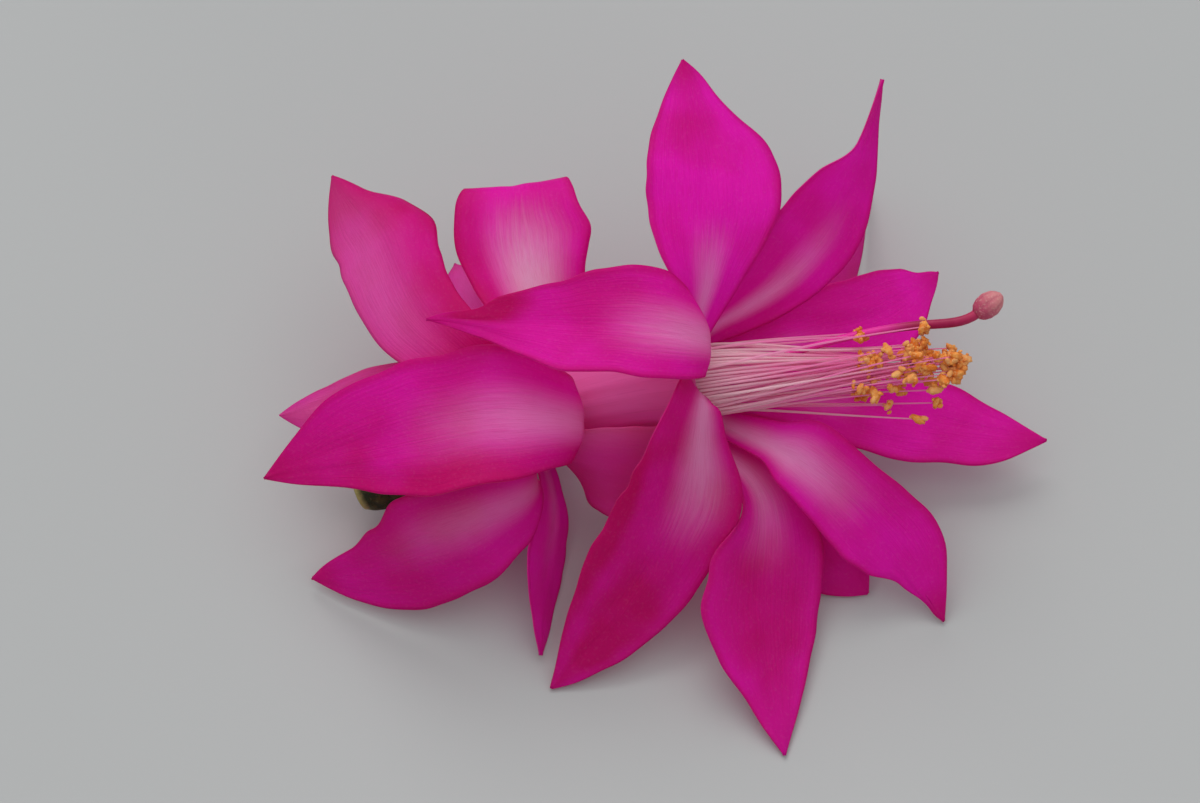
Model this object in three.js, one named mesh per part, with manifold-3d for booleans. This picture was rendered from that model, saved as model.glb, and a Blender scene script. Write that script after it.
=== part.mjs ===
// A picked Christmas cactus flower, lying on its side: an ovary, a curved floral tube, two tiers of
// tepals, a brush of stamens, and a style with its stigma.
// Millimetres, +Z up, the flower lying along +X. Z = 0 is the surface that it rests on.
import * as THREE from "three";
import Module from "manifold-3d";
import { mergeVertices } from "three/addons/utils/BufferGeometryUtils.js";

const wasm = await Module();
wasm.setup();

// Where the flower's own frame stands in the part's frame, whose origin is under the middle of the part.
const FLOWER_AT = [-6.1, -0.8, -0.25];

// The line through the middle of the flower, from the broken end of the ovary to the tube's mouth.
const CORE_LINE = [
  [-24.4, -5.1, 4.2],
  [-17.5, -3.4, 7.0],
  [-9.0, -1.2, 11.0],
  [0.5, 0.0, 14.8],
  [10.0, 0.6, 17.0],
];
// Outer radius along that line, as [share of the line, radius].
const OVARY_RADII = [
  [0, 1.7], [0.02, 2.2], [0.06, 2.5], [0.11, 2.7], [0.18, 2.6], [0.24, 2.4], [0.265, 2.1],
];
const TUBE_RADII = [[0.28, 2.4], [0.4, 2.9], [0.6, 3.3], [0.8, 3.9], [1, 4.5]];
const TUBE_WALL = 0.7;
const TUBE_STEPS = 10;
const CORE_SIDES = 20;

// Tepal blades. A blade's base stands off the tube by SEAT.
const SEAT = 0.6;
const BLADE_THICKNESS = 0.5;
const EDGE_THICKNESS = 0.3;
const BLADE_STEPS = 12;
const BLADE_STRIPS = 4;
const BASE_HALF_WIDTH = 1.25;
const TIP_HALF_WIDTH = 0.15;
const EVEN_MARGIN = [[0, 1], [1, 1]];

// Each tepal: where it leaves the tube (share of the core line, and angle round it from +Y towards
// +Z, in degrees), the points on its midrib after that, ending at the tip, its half width, the share
// of its length at which it is widest, how blunt its outer half is (2 is round, less is a longer
// point), and angles in degrees, each at base, middle and tip: how far the sides curl towards the
// inner face, and how far the blade turns about its midrib. Where a margin isn't even, left and right
// give [share of the length, times the half width], seen from the inner face with the tip away.
// Some have a seat of their own, a leftCurl for the left side alone, or slender: how late the blade
// widens from its base, where more is later.
const TEPALS = {
  inner_tepal_top: {
    leaves: [1.0, 58], half: 6.8, widest: 0.52, blunt: 1.75, curl: [25, 20, 10], turn: [45, 85, 90],
    midrib: [[10.9, 8.5, 26.0], [11.1, 15.9, 30.0], [8.2, 27.8, 33.5]],
    left: [[0, 1], [0.25, 0.77], [0.5, 1], [0.62, 0.98], [0.85, 0.63], [1, 0.8]],
    right: [[0, 1.2], [0.25, 1.3], [0.5, 1.1], [1, 1.1]],
  },
  inner_tepal_top_right: {
    leaves: [1.0, 20], half: 4.9, widest: 0.45, blunt: 1.6, curl: [25, 20, 20], turn: [30, 50, 10],
    midrib: [[17.2, 9.7, 20.2], [23.9, 15.9, 25.5], [27.9, 25.8, 33.0]],
    left: [[0, 1], [0.3, 0.82], [0.5, 0.82], [0.7, 0.73], [0.85, 0.62], [1, 0.9]],
    right: [[0, 0.8], [0.2, 1.15], [0.5, 1.3], [0.68, 1.4], [0.8, 0.7], [1, 1]],
  },
  inner_tepal_far: {
    leaves: [1.0, -4], half: 4.9, widest: 0.5, blunt: 2, curl: [30, 12, 5], turn: [10, 30, 30],
    midrib: [[18.7, 12.6, 12.5], [26.0, 23.1, 6.0], [29.1, 34.1, 0.9]],
  },
  inner_tepal_right: {
    leaves: [1.0, -43], half: 4.8, widest: 0.6, blunt: 2.4, curl: [30, 12, 5], turn: [0, 15, 20],
    midrib: [[18.7, 7.3, 14.0], [26.7, 10.3, 12.8], [34.9, 17.2, 10.8]],
    left: [[0, 1], [0.8, 1], [0.92, 0.83], [1, 0.9]],
    right: [[0, 1], [0.5, 0.93], [0.86, 0.9], [0.93, 0.66], [1, 0.8]],
  },
  inner_tepal_low_right: {
    leaves: [1.0, -76], half: 4.6, widest: 0.6, blunt: 2, curl: [30, 12, 5], turn: [0, -10, -10],
    midrib: [[20.3, 3.1, 10.0], [30.7, 2.7, 7.0], [45.7, 0.6, 5.0]],
    left: [[0, 1], [0.6, 1.08], [0.7, 1.02], [0.9, 1.28], [1, 1.2]],
    right: [[0, 1], [0.7, 0.9], [0.85, 0.76], [1, 0.65]],
  },
  inner_tepal_near_right: {
    leaves: [1.0, -115], half: 5.3, widest: 0.64, blunt: 2, curl: [30, 12, 5], turn: [-25, -45, -50],
    midrib: [[17.4, -5.6, 14.0], [25.1, -9.9, 10.0], [34.6, -17.8, 0.6]],
    left: [[0, 0.6], [0.2, 0.45], [0.3, 0.7], [0.6, 0.8], [0.7, 0.7], [0.82, 0.36], [0.92, 0.22], [1, 0.5]],
    right: [[0, 0.8], [0.2, 0.8], [0.3, 1.12], [0.5, 0.92], [0.78, 1.08], [1, 0.9]],
  },
  inner_tepal_hidden: {
    leaves: [0.93, -112], half: 4.7, widest: 0.6, blunt: 3, curl: [30, 12, 5], turn: [-20, -60, -65],
    midrib: [[17.2, -4.2, 7.4], [22.1, -10.2, 3.2], [27.1, -14.8, 0.8]],
  },
  inner_tepal_near: {
    leaves: [0.93, -150], half: 6.5, widest: 0.5, blunt: 1.8, curl: [30, 12, 5], turn: [-26, -64, -74],
    seat: 1.1,
    midrib: [[15.6, -8.3, 10.7], [16.1, -17.0, 6.0], [18.2, -32.5, 0.6]],
    left: [[0, 0.7], [0.3, 0.6], [0.5, 1.05], [0.6, 1.2], [0.72, 1.08], [0.85, 0.8], [1, 0.75]],
    right: [[0, 1], [0.5, 1.03], [0.8, 1], [1, 0.93]],
  },
  inner_tepal_near_left: {
    leaves: [1.0, 135], half: 6.0, widest: 0.45, blunt: 1.7, curl: [30, 16, 10], turn: [-20, -50, -60],
    midrib: [[9.5, -3.7, 21.5], [8.6, -8.0, 18.0], [5.0, -15.6, 9.8], [-4.9, -25.2, 0.6]],
    left: [[0, 1.2], [0.12, 1.7], [0.2, 1.45], [0.3, 1.15], [0.45, 1.05], [0.65, 1.18], [0.85, 1.16], [1, 1]],
    right: [[0, 0.8], [0.12, 0.9], [0.28, 1.22], [0.48, 0.96], [0.7, 1.07], [0.85, 1.22], [1, 1.5]],
  },
  inner_tepal_folded_back: {
    leaves: [0.98, 92], half: 5.7, widest: 0.35, blunt: 1.5, curl: [-20, 20, 20], turn: [0, 10, 20],
    leftCurl: [-45, 20, 20],
    midrib: [[10.6, 0.6, 24.0], [7.7, -0.5, 28.0], [0.0, 0.1, 28.5], [-16.8, 2.0, 26.5]],
    left: [[0, 0.9], [0.2, 1.1], [0.33, 1.08], [0.5, 1.07], [0.62, 0.92], [0.78, 0.9], [0.86, 0.58], [1, 1]],
    right: [[0, 0.9], [0.4, 0.84], [0.6, 1.08], [0.72, 1], [0.85, 0.83], [1, 0.7]],
  },
  outer_tepal_large: {
    leaves: [0.52, 117], half: 7.1, widest: 0.45, blunt: 1.9, curl: [-55, 20, 10], turn: [0, 0, 10],
    midrib: [[-1.8, -5.3, 19.5], [-5.8, -5.8, 21.3], [-16.6, -5.7, 19.5], [-33.4, -7.1, 11.0]],
    left: [[0, 0.8], [0.2, 0.8], [0.4, 1], [0.5, 0.92], [0.62, 1], [0.8, 1.18], [1, 1.1]],
    right: [[0, 0.8], [0.2, 0.8], [0.4, 0.97], [0.55, 1.1], [0.7, 1.05], [0.83, 0.91], [1, 1]],
  },
  outer_tepal_near_left: {
    leaves: [0.46, 165], half: 6.1, widest: 0.55, blunt: 2.2, curl: [30, 12, 5], turn: [0, -30, -40],
    midrib: [[-6.3, -9.5, 13.0], [-9.8, -12.3, 13.0], [-17.9, -13.9, 9.0], [-29.1, -13.4, 1.5]],
    left: [[0, 1], [0.55, 1], [0.7, 0.65], [0.82, 0.48], [1, 0.6]],
    right: [[0, 0.6], [0.15, 0.4], [0.28, 0.9], [0.4, 1.01], [0.8, 1.1], [1, 1.05]],
  },
  outer_tepal_near: {
    leaves: [0.5, 235], half: 3.9, widest: 0.45, blunt: 2, curl: [30, 12, 5], turn: [0, 10, 10],
    midrib: [[-4.7, -7.1, 6.5], [-5.4, -13.7, 3.8], [-5.9, -21.9, 1.2]],
    left: [[0, 1], [0.4, 1.5], [0.6, 1.65], [0.8, 1.35], [1, 1.6]],
    right: [[0, 0.6], [0.2, 0.5], [0.4, 0.76], [0.5, 0.88], [0.7, 0.84], [1, 1.1]],
  },
  outer_tepal_under: {
    leaves: [0.56, 190], half: 5.4, widest: 0.4, blunt: 2.4, curl: [30, -12, -5], turn: [20, 50, 60],
    midrib: [[0.0, -6.6, 12.6], [5.0, -7.1, 11.2], [13.1, -8.3, 7.5]],
    right: [[0, 1.4], [0.15, 1.4], [0.35, 1], [1, 1]],
  },
  outer_tepal_left: {
    leaves: [0.33, 88], half: 3.8, widest: 0.5, blunt: 2, slender: 2, curl: [30, 5, 5], turn: [0, -30, -40],
    midrib: [[-13.0, 0.4, 14.0], [-20.1, 1.3, 13.0], [-32.5, 1.6, 8.5]],
    left: [[0, 1], [1, 1.2]],
    right: [[0, 1], [0.5, 0.88], [0.75, 0.68], [1, 0.67]],
  },
  outer_tepal_far_left: {
    leaves: [0.5, 60], half: 5.4, widest: 0.62, blunt: 2.2, curl: [20, 5, 5], turn: [10, 20, 30],
    midrib: [[-11.8, 0.3, 20.0], [-17.8, 5.5, 21.5], [-21.5, 13.8, 21.5], [-27.3, 23.6, 19.0]],
    leftCurl: [20, -40, -100],
    left: [[0, 0.95], [0.58, 0.9], [0.7, 1.08], [0.8, 1.02], [0.9, 0.69], [1, 0.8]],
    right: [[0, 1], [0.7, 1.03], [0.85, 1.27], [1, 1.5]],
  },
  outer_tepal_far: {
    leaves: [0.52, 28], half: 6.9, widest: 0.52, blunt: 2, curl: [30, 12, 5], turn: [30, 70, 70],
    midrib: [[-6.6, 6.5, 17.0], [-8.3, 13.5, 20.0], [-8.8, 20.4, 21.5], [-8.9, 21.7, 13.0]],
    slender: 1.4,
    left: [[0, 1], [0.35, 1.05], [0.5, 1.13], [0.65, 1], [1, 1]],
    right: [[0, 1], [0.4, 0.8], [0.5, 0.87], [0.7, 0.88], [1, 1]],
  },
  outer_tepal_behind: {
    leaves: [0.48, 38], half: 3.6, widest: 0.5, blunt: 2, curl: [30, 12, 5], turn: [30, 80, 90],
    midrib: [[-9.1, 4.8, 14.0], [-11.9, 10.1, 15.0], [-14.9, 17.4, 12.0]],
  },
  outer_tepal_prop: {
    leaves: [0.5, -15], half: 4.2, widest: 0.5, blunt: 2, curl: [30, 12, 5], turn: [30, 70, 80],
    midrib: [[-9.7, 6.9, 8.5], [-12.5, 13.2, 4.0], [-14.9, 18.7, 0.6]],
  },
};

// Stamens. Those with the outermost anthers stand on the tube's wall, and the rest on the ovary's top.
const WALL_STAMENS = 20;
const FILAMENT_RADIUS = 0.18;
const FILAMENT_SIDES = 5;
const FILAMENT_STEPS = 9;
const ANTHER_RADIUS = 0.36;
const ANTHER_LENGTH = 1.1;
// The filaments leave a way out for the style, at this angle round the core line.
const STYLE_ANGLE = 45;
// Both rings: [share of the core line, radius] that a filament passes, and half of the gap that it
// leaves for the style, in degrees.
const WALL_RING = { through: [[0.8, 2.7], [1, 3.3]], gap: 22 };
const OVARY_RING = { through: [[0.29, 1.3], [0.65, 1.5], [1, 1.9]], gap: 26 };
const BUNDLE_MIDDLE = [31, 0.2, 18.8];
const ANTHERS = [
  [25.8, 1.0, 20.7], [28.2, 1.3, 21.9], [24.4, 0.3, 18.6], [25.5, -2.0, 19.9],
  [27.0, -0.6, 19.2], [26.2, -0.5, 15.9], [27.0, -2.2, 19.2], [28.7, 1.5, 16.9],
  [29.1, -1.0, 21.1], [28.7, -1.2, 18.9], [29.8, -0.5, 16.9], [30.0, 2.1, 19.1],
  [30.4, 1.6, 21.6], [31.7, 3.7, 18.8], [31.9, 2.6, 21.0], [31.0, 2.5, 16.9],
  [30.3, -0.1, 20.0], [30.5, -1.5, 21.1], [30.9, 0.2, 22.7], [32.0, 0.7, 18.4],
  [32.4, 0.0, 20.7], [33.2, 0.9, 21.2], [32.9, 0.8, 16.5], [33.0, -1.4, 18.7],
  [33.7, -1.0, 20.1], [33.2, -2.0, 17.2], [34.7, 2.8, 19.7], [34.9, 0.7, 21.7],
  [35.9, 1.2, 20.3], [36.0, 1.7, 17.7], [35.0, -0.5, 20.4], [35.2, 0.7, 17.1],
  [28.5, -2.2, 17.1], [31.4, -3.4, 16.4], [32.0, 4.4, 21.0], [25.8, 3.9, 20.4],
];

// Style and stigma.
const STYLE_RADIUS = 0.42;
const STYLE_SIDES = 8;
const STYLE_STEPS = 14;
const STYLE_FROM = [0.29, 0.65, 1];
const STYLE_POINTS = [[22.0, 2.9, 20.4], [32.5, 3.9, 22.4], [36.6, 4.3, 23.3]];
const STIGMA_FROM = [36.9, 4.4, 23.4];
const STIGMA_TO = [39.4, 6.1, 24.4];
const STIGMA_RADII = [[0, 0.6], [0.12, 0.95], [0.35, 1.2], [0.6, 1.25], [0.85, 0.95], [1, 0.4]];

const COLOURS = {
  ovary: 0x4a4a22,
  tube: 0xc86a98,
  tepal: 0xc41c84,
  style: 0x8f274f,
  stigma: 0xc07884,
  stamen: 0xd8a090,
};

const vec = (p) => new THREE.Vector3(...p);
const radians = THREE.MathUtils.degToRad;

// A smooth curve through the points, free at both ends. It gives the point at a share of its length.
function smoothCurve(points) {
  const last = points.length - 1;
  const reached = [0];
  for (let i = 1; i <= last; i++) {
    reached.push(reached[i - 1] + vec(points[i]).distanceTo(vec(points[i - 1])));
  }
  const knots = reached.map((length) => length / reached[last]);
  const bends = [0, 1, 2].map((k) => naturalBends(knots, points.map((p) => p[k])));
  return (share) => {
    let i = 0;
    while (i < last - 1 && share > knots[i + 1]) i++;
    const step = knots[i + 1] - knots[i];
    const b = (share - knots[i]) / step;
    const a = 1 - b;
    const bend = (k) => (a ** 3 - a) * bends[k][i] + (b ** 3 - b) * bends[k][i + 1];
    return vec([0, 1, 2].map((k) => a * points[i][k] + b * points[i + 1][k] + (bend(k) * step ** 2) / 6));
  };
}

// Second derivatives of the natural cubic spline through the values at the knots.
function naturalBends(knots, values) {
  const last = knots.length - 1;
  const factor = new Array(last + 1).fill(0);
  const carry = new Array(last + 1).fill(0);
  const slope = (i) => (values[i + 1] - values[i]) / (knots[i + 1] - knots[i]);
  for (let i = 1; i < last; i++) {
    const span = knots[i + 1] - knots[i - 1];
    const share = (knots[i] - knots[i - 1]) / span;
    const pivot = share * factor[i - 1] + 2;
    factor[i] = (share - 1) / pivot;
    carry[i] = ((6 * (slope(i) - slope(i - 1))) / span - share * carry[i - 1]) / pivot;
  }
  const bends = new Array(last + 1).fill(0);
  for (let i = last - 1; i > 0; i--) bends[i] = factor[i] * bends[i + 1] + carry[i];
  return bends;
}

const coreAt = smoothCurve(CORE_LINE);

// The middle of the flower at a share of the core line, with the directions along it, to the side and up.
function coreFrame(share) {
  const along = coreAt(Math.min(1, share + 0.01)).sub(coreAt(Math.max(0, share - 0.01))).normalize();
  const side = new THREE.Vector3(0, 1, 0).addScaledVector(along, -along.y).normalize();
  return { middle: coreAt(share), along, side, up: along.clone().cross(side) };
}

// The direction away from the core line at an angle round it, and the point at that angle and radius.
function outward(share, degrees) {
  const { side, up } = coreFrame(share);
  const angle = radians(degrees);
  return side.multiplyScalar(Math.cos(angle)).addScaledVector(up, Math.sin(angle));
}

function roundCore(share, degrees, radius) {
  return coreAt(share).addScaledVector(outward(share, degrees), radius);
}

// A value read from [share, value] pairs: straight between them, or easing from each to the next.
function valueAt(pairs, share, bend = (part) => part) {
  let i = 1;
  while (i < pairs.length - 1 && share > pairs[i][0]) i++;
  const [[from, low], [to, high]] = [pairs[i - 1], pairs[i]];
  const part = THREE.MathUtils.clamp((share - from) / (to - from), 0, 1);
  return THREE.MathUtils.lerp(low, high, bend(part));
}

const ease = (part) => (1 - Math.cos(Math.PI * part)) / 2;
const eased = (pairs, share) => valueAt(pairs, share, ease);

// The direction v after the shortest turn that takes direction a to direction b.
function swing(v, a, b) {
  return v.clone().applyQuaternion(new THREE.Quaternion().setFromUnitVectors(a, b));
}

// A value that goes smoothly from base to middle to tip.
function blend([base, middle, tip], share) {
  if (share < 0.5) return THREE.MathUtils.lerp(base, middle, ease(2 * share));
  return THREE.MathUtils.lerp(middle, tip, ease(2 * share - 1));
}

// A closed body from a list of vertex rings, each with the same number of points, run from the first
// ring to the last. Both ends are closed by a fan round the ring's middle.
function skin(rings) {
  const sides = rings[0].length;
  const points = rings.flat();
  const faces = [];
  for (let i = 0; i < rings.length - 1; i++) {
    for (let j = 0; j < sides; j++) {
      const [a, b] = [i * sides + j, i * sides + ((j + 1) % sides)];
      faces.push(a, b, b + sides, a, b + sides, a + sides);
    }
  }
  for (const [ring, turned] of [[0, true], [rings.length - 1, false]]) {
    const middle = points.length;
    points.push(rings[ring].reduce((sum, p) => sum.add(p), new THREE.Vector3()).divideScalar(sides));
    for (let j = 0; j < sides; j++) {
      const [a, b] = [ring * sides + j, ring * sides + ((j + 1) % sides)];
      faces.push(...(turned ? [middle, b, a] : [middle, a, b]));
    }
  }
  return bodyOf(points, faces);
}

function bodyOf(points, faces) {
  const geometry = new THREE.BufferGeometry();
  geometry.setAttribute("position", new THREE.Float32BufferAttribute(points.flatMap((p) => p.toArray()), 3));
  geometry.setIndex(faces);
  return geometry;
}

// A round rod along a curve. radius gives its radius at a share of the curve.
function rod(curve, radius, steps, sides) {
  const rings = [];
  let across = null;
  let before = null;
  for (let i = 0; i <= steps; i++) {
    const share = i / steps;
    const along = curve(Math.min(1, share + 0.01)).sub(curve(Math.max(0, share - 0.01))).normalize();
    across = across ? swing(across, before, along) : new THREE.Vector3(0, 1, 0).cross(along).normalize();
    before = along;
    const other = along.clone().cross(across);
    rings.push(circle(curve(share), across, other, radius(share), sides));
  }
  return skin(rings);
}

function circle(middle, across, other, radius, sides) {
  return Array.from({ length: sides }, (_, j) => {
    const angle = (2 * Math.PI * j) / sides;
    const offset = across.clone().multiplyScalar(Math.cos(angle)).addScaledVector(other, Math.sin(angle));
    return middle.clone().addScaledVector(offset, radius);
  });
}

function coreRing(share, radius) {
  const { middle, side, up } = coreFrame(share);
  return circle(middle, side, up, radius, CORE_SIDES);
}

function ovary() {
  return skin(OVARY_RADII.map(([share, radius]) => coreRing(share, radius)));
}

// The tube is a sleeve: out along its outer face and back along its inner one, open at both ends.
function floralTube() {
  const [start, end] = [TUBE_RADII[0][0], 1];
  const shares = [];
  for (let i = 0; i <= TUBE_STEPS; i++) shares.push(THREE.MathUtils.lerp(start, end, i / TUBE_STEPS));
  const rings = shares.map((share) => coreRing(share, valueAt(TUBE_RADII, share)));
  rings.push(...shares.reverse().map((share) => coreRing(share, valueAt(TUBE_RADII, share) - TUBE_WALL)));
  const points = rings.flat();
  const faces = [];
  for (let i = 0; i < rings.length; i++) {
    for (let j = 0; j < CORE_SIDES; j++) {
      const next = ((i + 1) % rings.length) * CORE_SIDES;
      const [a, b] = [i * CORE_SIDES + j, i * CORE_SIDES + ((j + 1) % CORE_SIDES)];
      const [c, d] = [next + ((j + 1) % CORE_SIDES), next + j];
      faces.push(a, b, c, a, c, d);
    }
  }
  return bodyOf(points, faces);
}

// Half of a blade's width at a share of its length: it rises from the narrow base to the widest place,
// then falls to the point. Either margin may stand in or out from that.
function halfWidth(tepal, share, margin) {
  const uneven = eased(tepal[margin] ?? EVEN_MARGIN, share);
  if (share < tepal.widest) {
    const rise = Math.sin((Math.PI / 2) * (share / tepal.widest)) ** (tepal.slender ?? 0.9);
    return uneven * THREE.MathUtils.lerp(BASE_HALF_WIDTH, tepal.half, rise);
  }
  const past = (share - tepal.widest) / (1 - tepal.widest);
  return uneven * THREE.MathUtils.lerp(TIP_HALF_WIDTH, tepal.half, 1 - past ** tepal.blunt);
}

// Frames along a midrib that don't twist: place, direction, and the way that the inner face looks.
function midribFrames(tepal) {
  const [share, angle] = tepal.leaves;
  const away = outward(share, angle);
  const base = roundCore(share, angle, valueAt(TUBE_RADII, share) + (tepal.seat ?? SEAT));
  const curve = smoothCurve([base.toArray(), ...tepal.midrib]);
  const frames = [];
  let before = coreFrame(share).along;
  let inner = away.negate();
  const fine = 8 * BLADE_STEPS;
  for (let i = 0; i <= fine; i++) {
    const part = i / fine;
    const along = curve(Math.min(1, part + 0.002)).sub(curve(Math.max(0, part - 0.002))).normalize();
    inner = swing(inner, before, along);
    before = along;
    if (i % 8 === 0) frames.push({ place: curve(part), along, inner: inner.clone() });
  }
  return frames;
}

// One cross-section of a blade, as the ring of points round it. The section is an arc, thinner
// towards its edges.
function bladeRing(tepal, frame, share) {
  const inner = frame.inner.clone().applyAxisAngle(frame.along, -radians(blend(tepal.turn, share)));
  const across = inner.clone().cross(frame.along);
  const faces = [[], []];
  for (let j = 0; j <= BLADE_STRIPS; j++) {
    const t = (2 * j) / BLADE_STRIPS - 1;
    const half = halfWidth(tepal, share, t < 0 ? "left" : "right");
    const curl = radians(blend((t < 0 && tepal.leftCurl) || tepal.curl, share)) || 1e-4;
    const place = frame.place.clone()
      .addScaledVector(across, (half * Math.sin(curl * t)) / curl)
      .addScaledVector(inner, (half * (1 - Math.cos(curl * t))) / curl);
    const normal = inner.clone().multiplyScalar(Math.cos(curl * t))
      .addScaledVector(across, -Math.sin(curl * t));
    const thick = THREE.MathUtils.lerp(BLADE_THICKNESS, EDGE_THICKNESS, Math.abs(t)) / 2;
    faces[0].push(place.clone().addScaledVector(normal, thick));
    faces[1].push(place.clone().addScaledVector(normal, -thick));
  }
  return [...faces[1], ...faces[0].reverse()];
}

function blade(tepal) {
  const frames = midribFrames(tepal);
  return skin(frames.map((frame, i) => bladeRing(tepal, frame, i / BLADE_STEPS)));
}

function solidOf(geometry) {
  const merged = mergeVertices(new THREE.BufferGeometry()
    .setAttribute("position", geometry.getAttribute("position"))
    .setIndex(geometry.index));
  return new wasm.Manifold(new wasm.Mesh({
    numProp: 3,
    vertProperties: merged.getAttribute("position").array,
    triVerts: new Uint32Array(merged.index.array),
  }));
}

// Two bodies joined into one.
function joined(first, second) {
  const mesh = solidOf(first).add(solidOf(second)).getMesh();
  const geometry = new THREE.BufferGeometry();
  geometry.setAttribute("position", new THREE.BufferAttribute(new Float32Array(mesh.vertProperties), 3));
  geometry.setIndex(new THREE.BufferAttribute(new Uint32Array(mesh.triVerts), 1));
  return geometry;
}

// How far round the bundle an anther stands, in degrees past the style.
function bundleAngle(anther) {
  const [, y, z] = anther.map((value, k) => value - BUNDLE_MIDDLE[k]);
  return (THREE.MathUtils.radToDeg(Math.atan2(z, y)) - STYLE_ANGLE + 720) % 360;
}

function bundleOffset(anther) {
  return Math.hypot(anther[1] - BUNDLE_MIDDLE[1], anther[2] - BUNDLE_MIDDLE[2]);
}

// Paths from a ring of roots to the anthers. The roots are evenly spaced round the ring, in the same
// order as the anthers, so that no two filaments cross.
function filamentPaths(anthers, ring) {
  const inOrder = [...anthers].sort((a, b) => bundleAngle(a) - bundleAngle(b));
  return inOrder.map((anther, i) => {
    const angle = STYLE_ANGLE + THREE.MathUtils.lerp(ring.gap, 360 - ring.gap, i / (anthers.length - 1));
    return [...ring.through.map(([share, radius]) => roundCore(share, angle, radius).toArray()), anther];
  });
}

// A filament with its anther, which lies across the filament's end at its own tilt.
function stamen(path, index) {
  const filament = rod(smoothCurve(path), () => FILAMENT_RADIUS, FILAMENT_STEPS, FILAMENT_SIDES);
  const anther = new THREE.SphereGeometry(1, 6, 5);
  anther.scale(ANTHER_LENGTH / 2, ANTHER_RADIUS, ANTHER_RADIUS);
  anther.rotateY(radians(40 * Math.sin(2.4 * index)));
  anther.rotateZ(radians(75 * Math.sin(1.7 * index)));
  anther.translate(...path.at(-1));
  return joined(filament, anther);
}

function stamens() {
  const byOffset = [...ANTHERS].sort((a, b) => bundleOffset(b) - bundleOffset(a));
  const onWall = filamentPaths(byOffset.slice(0, WALL_STAMENS), WALL_RING);
  const onOvary = filamentPaths(byOffset.slice(WALL_STAMENS), OVARY_RING);
  return [...onWall, ...onOvary].map(stamen);
}

function style() {
  const path = [...STYLE_FROM.map((share) => coreAt(share).toArray()), ...STYLE_POINTS];
  return rod(smoothCurve(path), () => STYLE_RADIUS, STYLE_STEPS, STYLE_SIDES);
}

function stigma() {
  const along = vec(STIGMA_TO).sub(vec(STIGMA_FROM));
  const across = new THREE.Vector3(0, 1, 0).cross(along).normalize();
  const other = along.clone().normalize().cross(across);
  return skin(STIGMA_RADII.map(([share, radius]) => {
    return circle(vec(STIGMA_FROM).addScaledVector(along, share), across, other, radius, 12);
  }));
}

const flower = new THREE.Group();
flower.position.set(...FLOWER_AT);

function addPiece(name, geometry, colour, roughness) {
  const mesh = new THREE.Mesh(geometry, new THREE.MeshStandardMaterial({ color: colour, roughness }));
  mesh.name = name;
  flower.add(mesh);
}

addPiece("ovary", ovary(), COLOURS.ovary, 0.6);
addPiece("floral_tube", floralTube(), COLOURS.tube, 0.45);
for (const [name, tepal] of Object.entries(TEPALS)) addPiece(name, blade(tepal), COLOURS.tepal, 0.5);
addPiece("style", style(), COLOURS.style, 0.45);
addPiece("stigma", stigma(), COLOURS.stigma, 0.6);
stamens().forEach((geometry, i) => {
  addPiece(`stamen_${String(i + 1).padStart(2, "0")}`, geometry, COLOURS.stamen, 0.6);
});

export default flower;
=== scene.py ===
"""A picked Christmas cactus flower lying on its side: the looks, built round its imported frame.

Shapes are worked out in millimetres in the flower's own frame, and placed in the part's frame in metres.
"""
import math

import bmesh
import bpy
import numpy as np
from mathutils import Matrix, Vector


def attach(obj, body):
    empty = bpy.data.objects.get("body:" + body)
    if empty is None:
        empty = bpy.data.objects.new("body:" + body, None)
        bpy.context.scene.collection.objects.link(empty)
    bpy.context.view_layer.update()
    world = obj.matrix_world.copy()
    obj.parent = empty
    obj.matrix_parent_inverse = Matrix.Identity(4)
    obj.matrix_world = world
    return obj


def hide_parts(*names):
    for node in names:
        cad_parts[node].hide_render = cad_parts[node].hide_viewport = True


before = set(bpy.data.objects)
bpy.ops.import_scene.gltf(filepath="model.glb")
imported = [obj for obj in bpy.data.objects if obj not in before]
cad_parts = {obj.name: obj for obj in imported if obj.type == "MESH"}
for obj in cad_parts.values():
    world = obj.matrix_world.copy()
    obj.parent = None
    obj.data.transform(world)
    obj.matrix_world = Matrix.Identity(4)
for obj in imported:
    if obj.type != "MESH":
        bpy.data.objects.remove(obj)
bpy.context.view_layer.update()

# The flower's own frame, and the camera that looks at it as in the photograph
MM = 0.001
FLOWER_AT = np.array([-6.1, -0.8, -0.25])
TARGET = FLOWER_AT + np.array([0.0, 0.0, 14.0])
CAMERA_DISTANCE = 333.0
CAMERA_ELEVATION = 60.0
LENS = 100.0
SENSOR = 36.0

# Seeds of the random draws, for the tepals one each from the first
TEPAL_SEED = 100
STAMEN_SEED = 7

# The line through the flower's middle, and radii along it as (share, radius)
CORE_LINE = [
    (-24.4, -5.1, 4.2), (-17.5, -3.4, 7.0), (-9.0, -1.2, 11.0), (0.5, 0.0, 14.8), (10.0, 0.6, 17.0),
]
OVARY_RADII = [(0, 1.7), (0.02, 2.2), (0.06, 2.5), (0.11, 2.7), (0.18, 2.6), (0.24, 2.4), (0.275, 2.3)]
# The hollow in the ovary's broken end, as (share of the rim's radius, depth)
BROKEN_END = [(0.3, 0.9), (0.6, 0.75), (0.85, 0.25)]
TUBE_RADII = [(0.28, 2.4), (0.4, 2.9), (0.6, 3.3), (0.8, 3.9), (1, 4.5)]
TUBE_WALL = 0.6
# The mouth widens by MOUTH_FLARE from a share of the core line.
MOUTH_FLARE = 0.8
FLARE_FROM = 0.88
# Waves round the ovary and the tube, as (height, how many, phase)
RIBS = [(0.10, 5, 1.0), (0.05, 9, 0.0)]
FLUTES = [(1, 10, 0.6), (1, 17, 0.0)]
FLUTE_DEPTH = 0.03

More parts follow.
